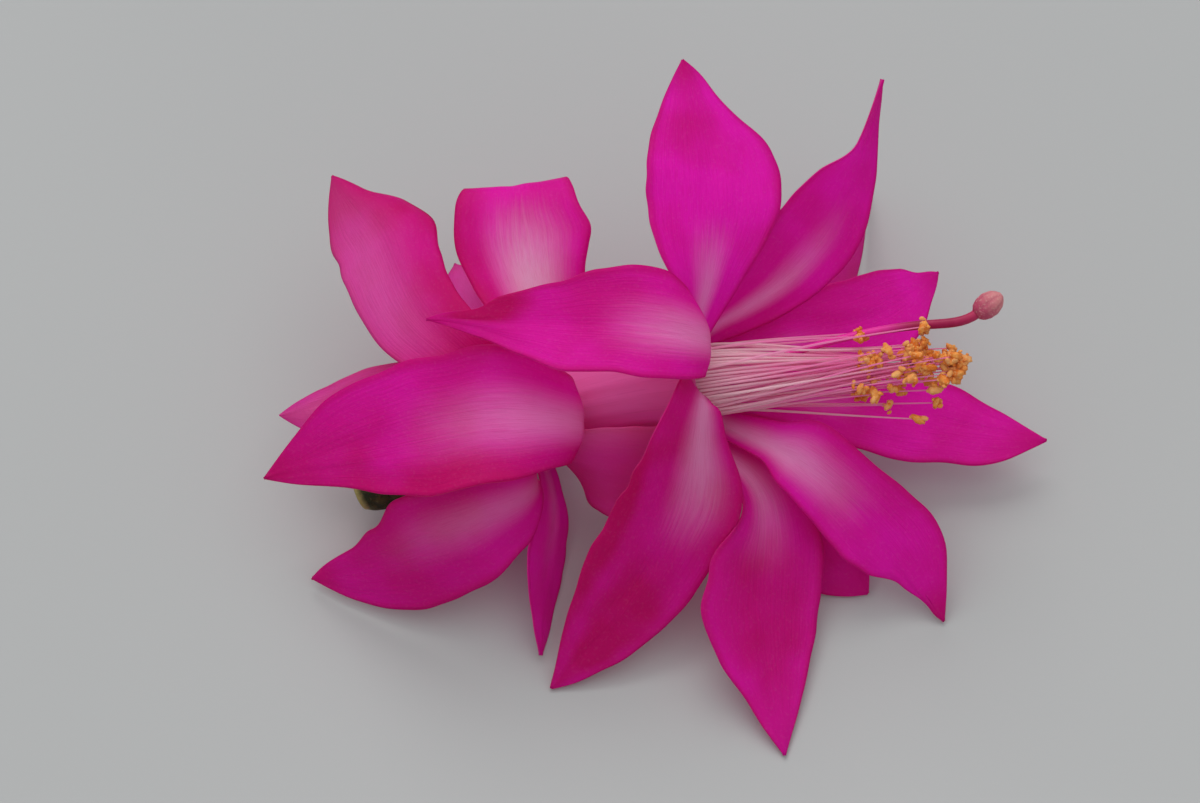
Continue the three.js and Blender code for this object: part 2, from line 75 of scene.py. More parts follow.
# Tepal blades. In the CAD a blade's base stands off the tube by SEAT. Here it is sunk by SINK_DEPTH from
# there, and less along the first SINK_SHARE of its length.
SEAT = 0.6
SINK_SHARE = 0.12
SINK_DEPTH = 0.9
BLADE_THICKNESS = 0.46
EDGE_THICKNESS = 0.14
BLADE_STEPS = 96
BLADE_STRIPS = 28
BASE_HALF_WIDTH = 1.5
TIP_HALF_WIDTH = 0.12
EVEN_MARGIN = [(0, 1), (1, 1)]
# A ruffled margin, soft dents, a keel along the middle and a rough edge, each with its height, and
# waves along a blade as (how many of each kind, how high each is)
RUFFLE = 0.15
RUFFLE_WAVES = [(1.3, 2.9, 5.3), (0.55, 0.3, 0.15)]
DENT = 0.12
DENTS_ALONG = [(1.7, 3.1), (0.6, 0.4)]
DENTS_ACROSS = [(1.1, 2.3), (0.6, 0.4)]
KEEL = 0.22
KEEL_HALF_WIDTH = 0.2
ROUGH_EDGE = 0.012
EDGE_WAVES = [(4.1, 8.3), (0.7, 0.5)]
# A flat blade is curled by this angle in radians, too little to see.
LEAST_CURL = 1e-4

# The shape of each tepal, as in the CAD, but for outer_tepal_under's left margin, which is a little
# wider. It leaves the tube at a share of the core line and an angle round it in degrees, and its midrib
# goes on through the points. half is its half width, widest is the share of its length where it has
# that, and blunt is how blunt it ends (2 is round). slender is how late it widens, and seat how far its
# base stands off the tube. curl and turn are in degrees at base, middle and tip: how far its sides
# curl towards the inner face, and how far it turns about its midrib. left and right are its margins, as
# (share of the length, times the half width).
TEPALS = {
    "inner_tepal_top": dict(
        leaves=(1.0, 58), half=6.8, widest=0.52, blunt=1.75, curl=(25, 20, 10), turn=(45, 85, 90),
        midrib=[(10.9, 8.5, 26.0), (11.1, 15.9, 30.0), (8.2, 27.8, 33.5)],
        left=[(0, 1), (0.25, 0.77), (0.5, 1), (0.62, 0.98), (0.85, 0.63), (1, 0.8)],
        right=[(0, 1.2), (0.25, 1.3), (0.5, 1.1), (1, 1.1)],
    ),
    "inner_tepal_top_right": dict(
        leaves=(1.0, 20), half=4.9, widest=0.45, blunt=1.6, curl=(25, 20, 20), turn=(30, 50, 10),
        midrib=[(17.2, 9.7, 20.2), (23.9, 15.9, 25.5), (27.9, 25.8, 33.0)],
        left=[(0, 1), (0.3, 0.82), (0.5, 0.82), (0.7, 0.73), (0.85, 0.62), (1, 0.9)],
        right=[(0, 0.8), (0.2, 1.15), (0.5, 1.3), (0.68, 1.4), (0.8, 0.7), (1, 1)],
    ),
    "inner_tepal_far": dict(
        leaves=(1.0, -4), half=4.9, widest=0.5, blunt=2, curl=(30, 12, 5), turn=(10, 30, 30),
        midrib=[(18.7, 12.6, 12.5), (26.0, 23.1, 6.0), (29.1, 34.1, 0.9)],
    ),
    "inner_tepal_right": dict(
        leaves=(1.0, -43), half=4.8, widest=0.6, blunt=2.4, curl=(30, 12, 5), turn=(0, 15, 20),
        midrib=[(18.7, 7.3, 14.0), (26.7, 10.3, 12.8), (34.9, 17.2, 10.8)],
        left=[(0, 1), (0.8, 1), (0.92, 0.83), (1, 0.9)],
        right=[(0, 1), (0.5, 0.93), (0.86, 0.9), (0.93, 0.66), (1, 0.8)],
    ),
    "inner_tepal_low_right": dict(
        leaves=(1.0, -76), half=4.6, widest=0.6, blunt=2, curl=(30, 12, 5), turn=(0, -10, -10),
        midrib=[(20.3, 3.1, 10.0), (30.7, 2.7, 7.0), (45.7, 0.6, 5.0)],
        left=[(0, 1), (0.6, 1.08), (0.7, 1.02), (0.9, 1.28), (1, 1.2)],
        right=[(0, 1), (0.7, 0.9), (0.85, 0.76), (1, 0.65)],
    ),
    "inner_tepal_near_right": dict(
        leaves=(1.0, -115), half=5.3, widest=0.64, blunt=2, curl=(30, 12, 5), turn=(-25, -45, -50),
        midrib=[(17.4, -5.6, 14.0), (25.1, -9.9, 10.0), (34.6, -17.8, 0.6)],
        left=[
            (0, 0.6), (0.2, 0.45), (0.3, 0.7), (0.6, 0.8),
            (0.7, 0.7), (0.82, 0.36), (0.92, 0.22), (1, 0.5),
        ],
        right=[(0, 0.8), (0.2, 0.8), (0.3, 1.12), (0.5, 0.92), (0.78, 1.08), (1, 0.9)],
    ),
    "inner_tepal_hidden": dict(
        leaves=(0.93, -112), half=4.7, widest=0.6, blunt=3, curl=(30, 12, 5), turn=(-20, -60, -65),
        midrib=[(17.2, -4.2, 7.4), (22.1, -10.2, 3.2), (27.1, -14.8, 0.8)],
    ),
    "inner_tepal_near": dict(
        leaves=(0.93, -150), half=6.5, widest=0.5, blunt=1.8, curl=(30, 12, 5), turn=(-26, -64, -74),
        seat=1.1,
        midrib=[(15.6, -8.3, 10.7), (16.1, -17.0, 6.0), (18.2, -32.5, 0.6)],
        left=[(0, 0.7), (0.3, 0.6), (0.5, 1.05), (0.6, 1.2), (0.72, 1.08), (0.85, 0.8), (1, 0.75)],
        right=[(0, 1), (0.5, 1.03), (0.8, 1), (1, 0.93)],
    ),
    "inner_tepal_near_left": dict(
        leaves=(1.0, 135), half=6.0, widest=0.45, blunt=1.7, curl=(30, 16, 10), turn=(-20, -50, -60),
        midrib=[(9.5, -3.7, 21.5), (8.6, -8.0, 18.0), (5.0, -15.6, 9.8), (-4.9, -25.2, 0.6)],
        left=[
            (0, 1.2), (0.12, 1.7), (0.2, 1.45), (0.3, 1.15),
            (0.45, 1.05), (0.65, 1.18), (0.85, 1.16), (1, 1),
        ],
        right=[(0, 0.8), (0.12, 0.9), (0.28, 1.22), (0.48, 0.96), (0.7, 1.07), (0.85, 1.22), (1, 1.5)],
    ),
    "inner_tepal_folded_back": dict(
        leaves=(0.98, 92), half=5.7, widest=0.35, blunt=1.5, curl=(-20, 20, 20), turn=(0, 10, 20),
        left_curl=(-45, 20, 20),
        midrib=[(10.6, 0.6, 24.0), (7.7, -0.5, 28.0), (0.0, 0.1, 28.5), (-16.8, 2.0, 26.5)],
        left=[
            (0, 0.9), (0.2, 1.1), (0.33, 1.08), (0.5, 1.07),
            (0.62, 0.92), (0.78, 0.9), (0.86, 0.58), (1, 1),
        ],
        right=[(0, 0.9), (0.4, 0.84), (0.6, 1.08), (0.72, 1), (0.85, 0.83), (1, 0.7)],
    ),
    "outer_tepal_large": dict(
        leaves=(0.52, 117), half=7.1, widest=0.45, blunt=1.9, curl=(-55, 20, 10), turn=(0, 0, 10),
        midrib=[(-1.8, -5.3, 19.5), (-5.8, -5.8, 21.3), (-16.6, -5.7, 19.5), (-33.4, -7.1, 11.0)],
        left=[(0, 0.8), (0.2, 0.8), (0.4, 1), (0.5, 0.92), (0.62, 1), (0.8, 1.18), (1, 1.1)],
        right=[(0, 0.8), (0.2, 0.8), (0.4, 0.97), (0.55, 1.1), (0.7, 1.05), (0.83, 0.91), (1, 1)],
    ),
    "outer_tepal_near_left": dict(
        leaves=(0.46, 165), half=6.1, widest=0.55, blunt=2.2, curl=(30, 12, 5), turn=(0, -30, -40),
        midrib=[(-6.3, -9.5, 13.0), (-9.8, -12.3, 13.0), (-17.9, -13.9, 9.0), (-29.1, -13.4, 1.5)],
        left=[(0, 1), (0.55, 1), (0.7, 0.65), (0.82, 0.48), (1, 0.6)],
        right=[(0, 0.6), (0.15, 0.4), (0.28, 0.9), (0.4, 1.01), (0.8, 1.1), (1, 1.05)],
    ),
    "outer_tepal_near": dict(
        leaves=(0.5, 235), half=3.9, widest=0.45, blunt=2, curl=(30, 12, 5), turn=(0, 10, 10),
        midrib=[(-4.7, -7.1, 6.5), (-5.4, -13.7, 3.8), (-5.9, -21.9, 1.2)],
        left=[(0, 1), (0.4, 1.5), (0.6, 1.65), (0.8, 1.35), (1, 1.6)],
        right=[(0, 0.6), (0.2, 0.5), (0.4, 0.76), (0.5, 0.88), (0.7, 0.84), (1, 1.1)],
    ),
    "outer_tepal_under": dict(
        leaves=(0.56, 190), half=5.4, widest=0.4, blunt=2.4, curl=(30, -12, -5), turn=(20, 50, 60),
        midrib=[(0.0, -6.6, 12.6), (5.0, -7.1, 11.2), (13.1, -8.3, 7.5)],
        left=[(0, 1), (0.3, 1), (0.5, 1.13), (0.7, 1.05), (1, 1)],
        right=[(0, 1.4), (0.15, 1.4), (0.35, 1), (1, 1)],
    ),
    "outer_tepal_left": dict(
        leaves=(0.33, 88), half=3.8, widest=0.5, blunt=2, slender=2, curl=(30, 5, 5), turn=(0, -30, -40),
        midrib=[(-13.0, 0.4, 14.0), (-20.1, 1.3, 13.0), (-32.5, 1.6, 8.5)],
        left=[(0, 1), (1, 1.2)],
        right=[(0, 1), (0.5, 0.88), (0.75, 0.68), (1, 0.67)],
    ),
    "outer_tepal_far_left": dict(
        leaves=(0.5, 60), half=5.4, widest=0.62, blunt=2.2, curl=(20, 5, 5), turn=(10, 20, 30),
        midrib=[(-11.8, 0.3, 20.0), (-17.8, 5.5, 21.5), (-21.5, 13.8, 21.5), (-27.3, 23.6, 19.0)],
        left_curl=(20, -40, -100),
        left=[(0, 0.95), (0.58, 0.9), (0.7, 1.08), (0.8, 1.02), (0.9, 0.69), (1, 0.8)],
        right=[(0, 1), (0.7, 1.03), (0.85, 1.27), (1, 1.5)],
    ),
    "outer_tepal_far": dict(
        leaves=(0.52, 28), half=6.9, widest=0.52, blunt=2, curl=(30, 12, 5), turn=(30, 70, 70),
        midrib=[(-6.6, 6.5, 17.0), (-8.3, 13.5, 20.0), (-8.8, 20.4, 21.5), (-8.9, 21.7, 13.0)],
        slender=1.4,
        left=[(0, 1), (0.35, 1.05), (0.5, 1.13), (0.65, 1), (1, 1)],
        right=[(0, 1), (0.4, 0.8), (0.5, 0.87), (0.7, 0.88), (1, 1)],
    ),
    "outer_tepal_behind": dict(
        leaves=(0.48, 38), half=3.6, widest=0.5, blunt=2, curl=(30, 12, 5), turn=(30, 80, 90),
        midrib=[(-9.1, 4.8, 14.0), (-11.9, 10.1, 15.0), (-14.9, 17.4, 12.0)],
    ),
    "outer_tepal_prop": dict(
        leaves=(0.5, -15), half=4.2, widest=0.5, blunt=2, curl=(30, 12, 5), turn=(30, 70, 80),
        midrib=[(-9.7, 6.9, 8.5), (-12.5, 13.2, 4.0), (-14.9, 18.7, 0.6)],
    ),
}

# Colours of the tepals, as linear red, green and blue, as all colours here
# DEEP is the tissue's deep colour and also the colour of its painted shade.
DEEP = (0.70, 0.003, 0.21)
BRIGHT = (1.0, 0.012, 0.63)
PALE = (1.0, 0.44, 0.80)
WHITISH = (1.0, 0.68, 0.86)
EDGE = (0.72, 0.003, 0.21)
THROUGH = (1.0, 0.020, 0.84)
THROUGH_DEEP = (0.95, 0.006, 0.36)
SALMON = (0.98, 0.22, 0.42)
LILAC = (1.0, 0.34, 0.86)
# The share of the light on a tepal's skin that goes through it
THROUGH_SHARE = 0.5

# Colours of the other pieces
TUBE_COLOURS = dict(
    below=(1.0, 0.09, 0.60), above=(1.0, 0.20, 0.62), line=(0.65, 0.02, 0.28), through=(1.0, 0.12, 0.60))
OVARY_COLOURS = dict(
    dark=(0.018, 0.026, 0.006), light=(0.07, 0.07, 0.018), top=(0.32, 0.05, 0.08),
    broken=(0.42, 0.36, 0.12), speck=(0.14, 0.14, 0.045))
FILAMENT_COLOURS = dict(
    cream=(1.0, 0.84, 0.86), pink=(1.0, 0.20, 0.60), streak=(0.95, 0.30, 0.55), through=(1.0, 0.74, 0.84))
ANTHER_COLOURS = dict(
    dark=(0.82, 0.19, 0.022), orange=(0.98, 0.38, 0.08), pale=(1.0, 0.58, 0.24),
    grain=(1.0, 0.70, 0.34), through=(0.95, 0.5, 0.15))
STYLE_COLOURS = dict(
    inside=(0.78, 0.02, 0.34), outside=(0.33, 0.003, 0.06), end=(0.48, 0.025, 0.10), line=(0.5, 0.02, 0.12))
# The stigma is painted darker at its base and lighter at its end, as shade and highlight, and darker in its
# grooves as shade.
STIGMA_COLOURS = dict(
    base=(0.52, 0.07, 0.15), end=(0.74, 0.26, 0.28), groove=(0.46, 0.06, 0.14),
    papilla=(0.85, 0.52, 0.46), through=(0.8, 0.3, 0.3))
FLOOR_TONES = [(0.445, 0.45, 0.45), (0.465, 0.47, 0.47)]

# How each tepal is coloured: pale is how strong its pale zone is. The zone comes in up to the share
# "start" of the length, is full up to "full" and gone at "reach", spread is its half width, and lean
# moves it to one side. depth is how far the whole blade goes towards the deep colour, partly its own
# tone and partly painted shade, and tip is how red its point is. Each dusky place is a soft patch of
# painted shade, as (along, across, half length, half width, how deep).
LOOKS = {
    "inner_tepal_top": dict(
        pale=0.9, full=0.12, reach=0.45, spread=0.5, depth=0.0, tip=0.8,
        painted_shade=[(0.85, 0.1, 0.3, 0.8, 0.35)]),
    "inner_tepal_top_right": dict(pale=0.95, full=0.15, reach=0.66, spread=0.5, lean=-0.1, depth=0.15),
    "inner_tepal_far": dict(pale=0.6, reach=0.4, depth=0.4),
    "inner_tepal_right": dict(pale=0.6, full=0.1, reach=0.5, spread=0.5, lean=-0.2, depth=0.05),
    "inner_tepal_low_right": dict(pale=0.8, full=0.2, reach=0.5, spread=0.6, depth=0.2),
    "inner_tepal_near_right": dict(pale=1.0, full=0.25, reach=0.62, spread=0.85, depth=0.2, tip=0.9),
    "inner_tepal_hidden": dict(pale=0.5, reach=0.4, depth=0.5),
    "inner_tepal_near": dict(
        pale=1.0, full=0.15, reach=0.52, spread=0.65, depth=0.3, tip=0.0,
        painted_shade=[(0.6, 0.0, 0.25, 1.2, 0.45)]),
    "inner_tepal_near_left": dict(
        pale=1.0, full=0.15, reach=0.5, spread=0.62, lean=0.3, depth=0.55, tip=0.2,
        painted_shade=[(0.5, -1.0, 0.4, 0.5, 0.5), (0.75, 0.2, 0.3, 0.8, 0.4)]),
    "inner_tepal_folded_back": dict(
        pale=0.8, full=0.2, reach=0.52, spread=0.7, depth=0.3, painted_shade=[(0.82, -0.6, 0.16, 0.9, 0.8)]),
    "outer_tepal_large": dict(
        pale=0.68, start=0.2, full=0.25, reach=0.68, spread=0.7, lean=0.05, depth=0.3,
        painted_shade=[(0.45, 0.9, 0.45, 0.6, 0.45), (0.92, 0.0, 0.3, 1.5, 0.4)]),
    "outer_tepal_near_left": dict(pale=0.5, full=0.25, reach=0.8, spread=0.65, lean=-0.15, depth=0.5),
    "outer_tepal_near": dict(pale=0.4, full=0.2, reach=0.7, spread=0.5, depth=0.05),
    "outer_tepal_under": dict(pale=0.3, full=0.2, reach=0.8, spread=0.8, lean=-1.0, depth=0.45),
    "outer_tepal_left": dict(pale=0.8, full=0.5, reach=1.3, spread=1.5, depth=0.0, pale_colour=SALMON),
    "outer_tepal_far_left": dict(
        pale=0.38, start=0.5, full=0.62, reach=1.2, spread=1.2, lean=0.5, depth=0.7, pale_colour=LILAC),
    "outer_tepal_far": dict(
        pale=1.0, full=0.35, reach=0.68, spread=0.8, lean=-0.1, depth=0.2, pale_colour=WHITISH,
        painted_shade=[(0.5, 1.0, 0.5, 0.7, 0.5)]),
    "outer_tepal_behind": dict(pale=0.7, full=0.5, reach=1.3, spread=1.4, depth=0.0, pale_colour=LILAC),
    "outer_tepal_prop": dict(pale=0.6, full=0.3, reach=0.8, spread=0.8, depth=0.5),
}

# Stamens. There are more than in the CAD, on two rings of roots close to the CAD's. Each ring has the
# (share of the core line, radius) that a thread passes, and half of its gap for the style, in degrees.
STYLE_ANGLE = 45
WALL_RING = dict(through=[(0.8, 2.9), (1, 3.55)], gap=18)
OVARY_RING = dict(through=[(0.29, 1.3), (0.65, 1.7), (1, 2.4)], gap=22)
BUNDLE_MIDDLE = (31, 0.2, 18.8)
WALL_STAMENS = 41
FILAMENT_RADII = [(0, 0.17), (0.5, 0.13), (1, 0.06)]
FILAMENT_SIDES = 8
FILAMENT_STEPS = 40
# How much the threads' roots are spaced evenly, rather than as their anthers stand
EVENLY = 0.6
# A thread bows at this share of its free length, by a random amount and more where it arches.
BOW_AT = 0.6
BOW_SCATTER = 0.14
ARCH_HEIGHT = 0.7
# An anther is a grainy sac with lumps of pollen on it. Grains are (how many, how high).
ANTHER_LENGTH = 1.5
ANTHER_RADIUS = 0.38
SAC_SIZES = (0.75, 1.1)
SAC_GRAINS = (26, 0.3)
GRAIN_WIDTH = 0.04
POLLEN_LUMPS = 5
LUMP_SHAPE = (1.6, 1, 1)
LUMP_SIZES = (0.13, 0.26)
LUMP_GRAINS = (9, 0.25)
LUMP_SCATTER = 0.36
LUMP_REACH = 0.65
# The anthers that the CAD has too
ANTHERS = [
    (25.8, 1.0, 20.7), (28.2, 1.3, 21.9), (24.4, 0.3, 18.6), (25.5, -2.0, 19.9), (27.0, -0.6, 19.2),
    (26.2, -0.5, 15.9), (27.0, -2.2, 19.2), (28.7, 1.5, 16.9), (29.1, -1.0, 21.1), (28.7, -1.2, 18.9),
    (29.8, -0.5, 16.9), (30.0, 2.1, 19.1), (30.4, 1.6, 21.6), (31.7, 3.7, 18.8), (31.9, 2.6, 21.0),
    (31.0, 2.5, 16.9), (30.3, -0.1, 20.0), (30.5, -1.5, 21.1), (30.9, 0.2, 22.7), (32.0, 0.7, 18.4),
    (32.4, 0.0, 20.7), (33.2, 0.9, 21.2), (32.9, 0.8, 16.5), (33.0, -1.4, 18.7), (33.7, -1.0, 20.1),
    (33.2, -2.0, 17.2), (34.7, 2.8, 19.7), (34.9, 0.7, 21.7), (35.9, 1.2, 20.3), (36.0, 1.7, 17.7),
    (35.0, -0.5, 20.4), (35.2, 0.7, 17.1), (28.5, -2.2, 17.1), (31.4, -3.4, 16.4), (32.0, 4.4, 21.0),
    (25.8, 3.9, 20.4),
]
# Two long stamens arch over the style.
ARCHING_ANTHERS = [(31.6, 2.9, 23.6), (25.5, 2.9, 21.7)]
# The rest stand in clumps: each clump's middle, its spread, and how many anthers it has.
CLUMP_REACH = 1.6
CLUMPS = [
    ((31.6, 1.1, 20.4), (1.1, 0.7, 0.8), 20),
    ((34.9, 0.6, 20.2), (0.8, 0.6, 0.8), 11),
    ((26.8, 0.5, 20.6), (0.6, 0.5, 0.5), 6),
    ((26.5, -0.8, 18.0), (0.55, 0.45, 0.5), 6),
]

# Style and stigma
STYLE_FROM = (0.29, 0.65, 1)
STYLE_POINTS = [(22.0, 2.9, 20.4), (32.5, 3.9, 22.4), (36.6, 4.3, 23.3), (37.6, 4.9, 23.7)]
STYLE_RADII = [(0, 0.36), (0.7, 0.36), (0.9, 0.46), (1, 0.5)]
STYLE_STEPS = 90
STYLE_SIDES = 20
STIGMA_FROM = (36.9, 4.4, 23.4)
STIGMA_TO = (39.4, 6.1, 24.4)
STIGMA_RADII = [(0, 0.55), (0.1, 0.95), (0.3, 1.22), (0.55, 1.28), (0.8, 1.0), (0.93, 0.62), (1, 0.25)]
STIGMA_LOBES = 7
GROOVE_DEPTH = 0.06

# The floor and the camera's reach, in metres
FLOOR_HALF_SIZE = 3.0
NEAREST_SEEN = 0.01
FURTHEST_SEEN = 20.0

# Light: the sky all round, and soft daylight from behind the flower and from above
SKY_COLOUR = (0.93, 0.97, 1.0)
SKY_STRENGTH = 0.45
DAYLIGHT_COLOUR = (1.0, 0.99, 0.97)
DAYLIGHT = {
    "from_behind": dict(strength=0.98, angle=0.7, towards=(0.15, -0.55, -0.65)),
    "from_above": dict(strength=0.95, angle=1.4, towards=(0.1, -0.1, -1.0)),
}


# Curves and frames

def unit(v):
    return v / np.linalg.norm(v, axis=-1, keepdims=True)


def natural_bends(knots, values):
    """Second derivatives of the natural cubic spline through the values at the knots."""
    bends, carry = np.zeros_like(values), np.zeros_like(values)
    factor = np.zeros(len(knots))
    slope = np.diff(values, axis=0) / np.diff(knots)[:, None]
    for i in range(1, len(knots) - 1):
        span = knots[i + 1] - knots[i - 1]
        share = (knots[i] - knots[i - 1]) / span
        pivot = share * factor[i - 1] + 2
        factor[i] = (share - 1) / pivot
        carry[i] = (6 * (slope[i] - slope[i - 1]) / span - share * carry[i - 1]) / pivot
    for i in range(len(knots) - 2, 0, -1):
        bends[i] = factor[i] * bends[i + 1] + carry[i]
    return bends


def smooth_curve(points):
    """A smooth curve through the points, free at both ends, as a function of the share of its length."""
    points = np.array(points, float)
    reached = np.concatenate([[0], np.cumsum(np.linalg.norm(np.diff(points, axis=0), axis=1))])
    knots = reached / reached[-1]
    bends = natural_bends(knots, points)

    def at(share):
        share = np.atleast_1d(np.asarray(share, float))
        i = np.clip(np.searchsorted(knots, share, side="left") - 1, 0, len(knots) - 2)
        step = (knots[i + 1] - knots[i])[:, None]
        b = (share - knots[i])[:, None] / step
        a = 1 - b
        bend = (a**3 - a) * bends[i] + (b**3 - b) * bends[i + 1]
        return a * points[i] + b * points[i + 1] + bend * step**2 / 6

    return at


def directions(curve, shares, reach):
    ahead = curve(np.minimum(1, shares + reach))
    behind = curve(np.maximum(0, shares - reach))
    return unit(ahead - behind)


core_at = smooth_curve(CORE_LINE)


def core_frame(share):
    """The middle of the flower at a share of the core line, the direction along it, to the side and up."""
    along = directions(core_at, np.array([share]), 0.01)[0]
    side = unit(np.array([0.0, 1.0, 0.0]) - along * along[1])
    return core_at(share)[0], along, side, np.cross(along, side)


def outward(share, degrees):
    """The direction away from the core line at an angle round it."""
    _, _, side, up = core_frame(share)
    angle = math.radians(degrees)
    return side * math.cos(angle) + up * math.sin(angle)


def round_core(share, degrees, radius):
    """A point round the core line."""
    return core_at(share)[0] + outward(share, degrees) * radius


def read(pairs, share):
    """A value read from (share, value) pairs, straight between them."""
    return np.interp(share, *zip(*pairs))


def eased(pairs, share):
    """A value that eases from each (share, value) pair to the next."""
    shares, values = np.array(pairs, float).T
    i = np.clip(np.searchsorted(shares, share, side="left"), 1, len(shares) - 1)
    part = np.clip((share - shares[i - 1]) / (shares[i] - shares[i - 1]), 0, 1)
    return values[i - 1] + (values[i] - values[i - 1]) * (1 - np.cos(math.pi * part)) / 2


def smooth_read(pairs, share, width=0.03):
    """The same as read, with its corners rounded over a width."""
    offsets = np.linspace(-1, 1, 9) * width
    return sum(read(pairs, np.asarray(share) + offset) for offset in offsets) / len(offsets)


def swing(v, a, b):
    """The direction v after the shortest turn that takes direction a to direction b."""
    axis = np.cross(a, b)
    return v * (a @ b) + np.cross(axis, v) + axis * (axis @ v) / (1 + a @ b)


def blend(three, share):
    """A value that goes smoothly from base to middle to tip."""
    base, middle, tip = three
    first = (1 - np.cos(math.pi * np.clip(2 * share, 0, 1))) / 2
    second = (1 - np.cos(math.pi * np.clip(2 * share - 1, 0, 1))) / 2
    return base + (middle - base) * first + (tip - middle) * second


# Meshes

def placed(points):
    """Points in metres, in the part's frame."""
    return (np.asarray(points) + FLOWER_AT) * MM


def mesh_object(name, points, faces, material, marks=()):
    """A smooth mesh object from points in the flower's frame. marks are (name, value for each point)."""
    mesh = bpy.data.meshes.new(name)
    mesh.from_pydata(placed(points).tolist(), [], faces)
    for mark, values in marks:
        attribute = mesh.attributes.new(mark, "FLOAT", "POINT")
        attribute.data.foreach_set("value", np.ravel(values).astype(np.float32))
    mesh.polygons.foreach_set("use_smooth", [True] * len(mesh.polygons))
    mesh.materials.append(material)
    mesh.update()
    obj = bpy.data.objects.new(name, mesh)
    bpy.context.scene.collection.objects.link(obj)
    return obj


def skin(rings, closed=False):
    """Points and faces of a body run through rings of points. Unless it is closed, both ends get a cap."""
    count, sides = rings.shape[:2]
    points = rings.reshape(-1, 3)
    faces = []
    for i in range(count if closed else count - 1):
        for j in range(sides):
            a, b = i * sides + j, i * sides + (j + 1) % sides
            c, d = (i + 1) % count * sides + (j + 1) % sides, (i + 1) % count * sides + j
            faces.append((a, b, c, d))
    if closed:
        return points, faces
    last = (count - 1) * sides
    for j in range(sides):
        faces.append((len(points), (j + 1) % sides, j))
        faces.append((len(points) + 1, last + j, last + (j + 1) % sides))
    return np.vstack([points, rings[0].mean(0), rings[-1].mean(0)]), faces


def with_caps(values):
    """A ring value for each point of a capped body, the two middles of the caps last."""
    return np.concatenate([values.ravel(), [values[0].mean(), values[-1].mean()]])


def circles(middles, across, other, radii, sides):
    """Rings of points round a line of middles. radii has one value a ring, or one a point."""
    angle = 2 * math.pi * np.arange(sides) / sides
    radii = np.broadcast_to(np.asarray(radii, float).reshape(len(middles), -1), (len(middles), sides))
    spoke = across[:, None] * np.cos(angle)[None, :, None] + other[:, None] * np.sin(angle)[None, :, None]
    return middles[:, None] + spoke * radii[:, :, None]


def rod(curve, radii, steps, sides):
    """Rings of a round rod along a curve, with the share of the curve at each ring."""
    shares = np.linspace(0, 1, steps + 1)
    along = directions(curve, shares, 0.01)
    across = [unit(np.cross((0.0, 1.0, 0.0), along[0]))]
    for i in range(steps):
        across.append(swing(across[-1], along[i], along[i + 1]))
    across = np.array(across)
    return circles(curve(shares), across, np.cross(along, across), read(radii, shares), sides), shares


def finish_piece(obj, slot, *nodes):
    """Says what a piece rides on and the nodes that it replaces. Its finish, slot, is not used."""
    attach(obj, "root")
    if nodes:
        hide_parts(*nodes)


# Tepals

def half_width(tepal, share, margin):
    """Half of a blade's width, where either margin may stand in or out from an even outline."""
    rise = np.sin(math.pi / 2 * np.clip(share / tepal["widest"], 0, 1)) ** tepal.get("slender", 0.9)
    past = np.clip((share - tepal["widest"]) / (1 - tepal["widest"]), 0, 1)
    rising = BASE_HALF_WIDTH + (tepal["half"] - BASE_HALF_WIDTH) * rise
    falling = TIP_HALF_WIDTH + (tepal["half"] - TIP_HALF_WIDTH) * (1 - past ** tepal["blunt"])
    return np.where(share < tepal["widest"], rising, falling) * eased(tepal.get(margin, EVEN_MARGIN), share)


def midrib_frames(tepal):
    """Places, directions and inner normals along a midrib, with no twist, one a step."""
    share, angle = tepal["leaves"]
    away = outward(share, angle)
    base = round_core(share, angle, read(TUBE_RADII, share) + tepal.get("seat", SEAT))
    curve = smooth_curve([base, *tepal["midrib"]])
    shares = np.linspace(0, 1, BLADE_STEPS + 1)
    along = directions(curve, shares, 0.002)
    inner = [swing(-away, core_frame(share)[1], along[0])]
    for i in range(BLADE_STEPS):
        inner.append(swing(inner[-1], along[i], along[i + 1]))
    sink = np.clip(1 - shares / SINK_SHARE, 0, 1) ** 2
    places = curve(shares) - sink[:, None] * away * (tepal.get("seat", SEAT) - SEAT + SINK_DEPTH)
    return shares, places, along, np.array(inner)


def waves(rng, share, frequencies, heights):
    """A sum of waves along a blade, each with its own random phase."""
    total = np.zeros_like(share)
    for frequency, height in zip(frequencies, heights):
        total = total + height * np.sin(2 * math.pi * (frequency * share + rng.random()))
    return total


def unevenness(rng, s, t):
    """How far the blade's surface stands off its arc: a ruffled margin, soft dents and a shallow keel."""
    body = np.sin(math.pi * np.clip(s, 0.02, 0.98)) ** 0.6
    margins = [waves(rng, s, *RUFFLE_WAVES) for _ in range(2)]
    ruffle = np.where(t < 0, margins[0], margins[1]) * np.abs(t) ** 2.4 * RUFFLE
    dents = waves(rng, s + 0.35 * t, *DENTS_ALONG)
    dents = dents * waves(rng, t / 2 + 0.3 * s, *DENTS_ACROSS) * DENT
    keel = np.exp(-((t / KEEL_HALF_WIDTH) ** 2)) * (1 - s) ** 0.5 * KEEL
    return body * (ruffle + dents - keel)


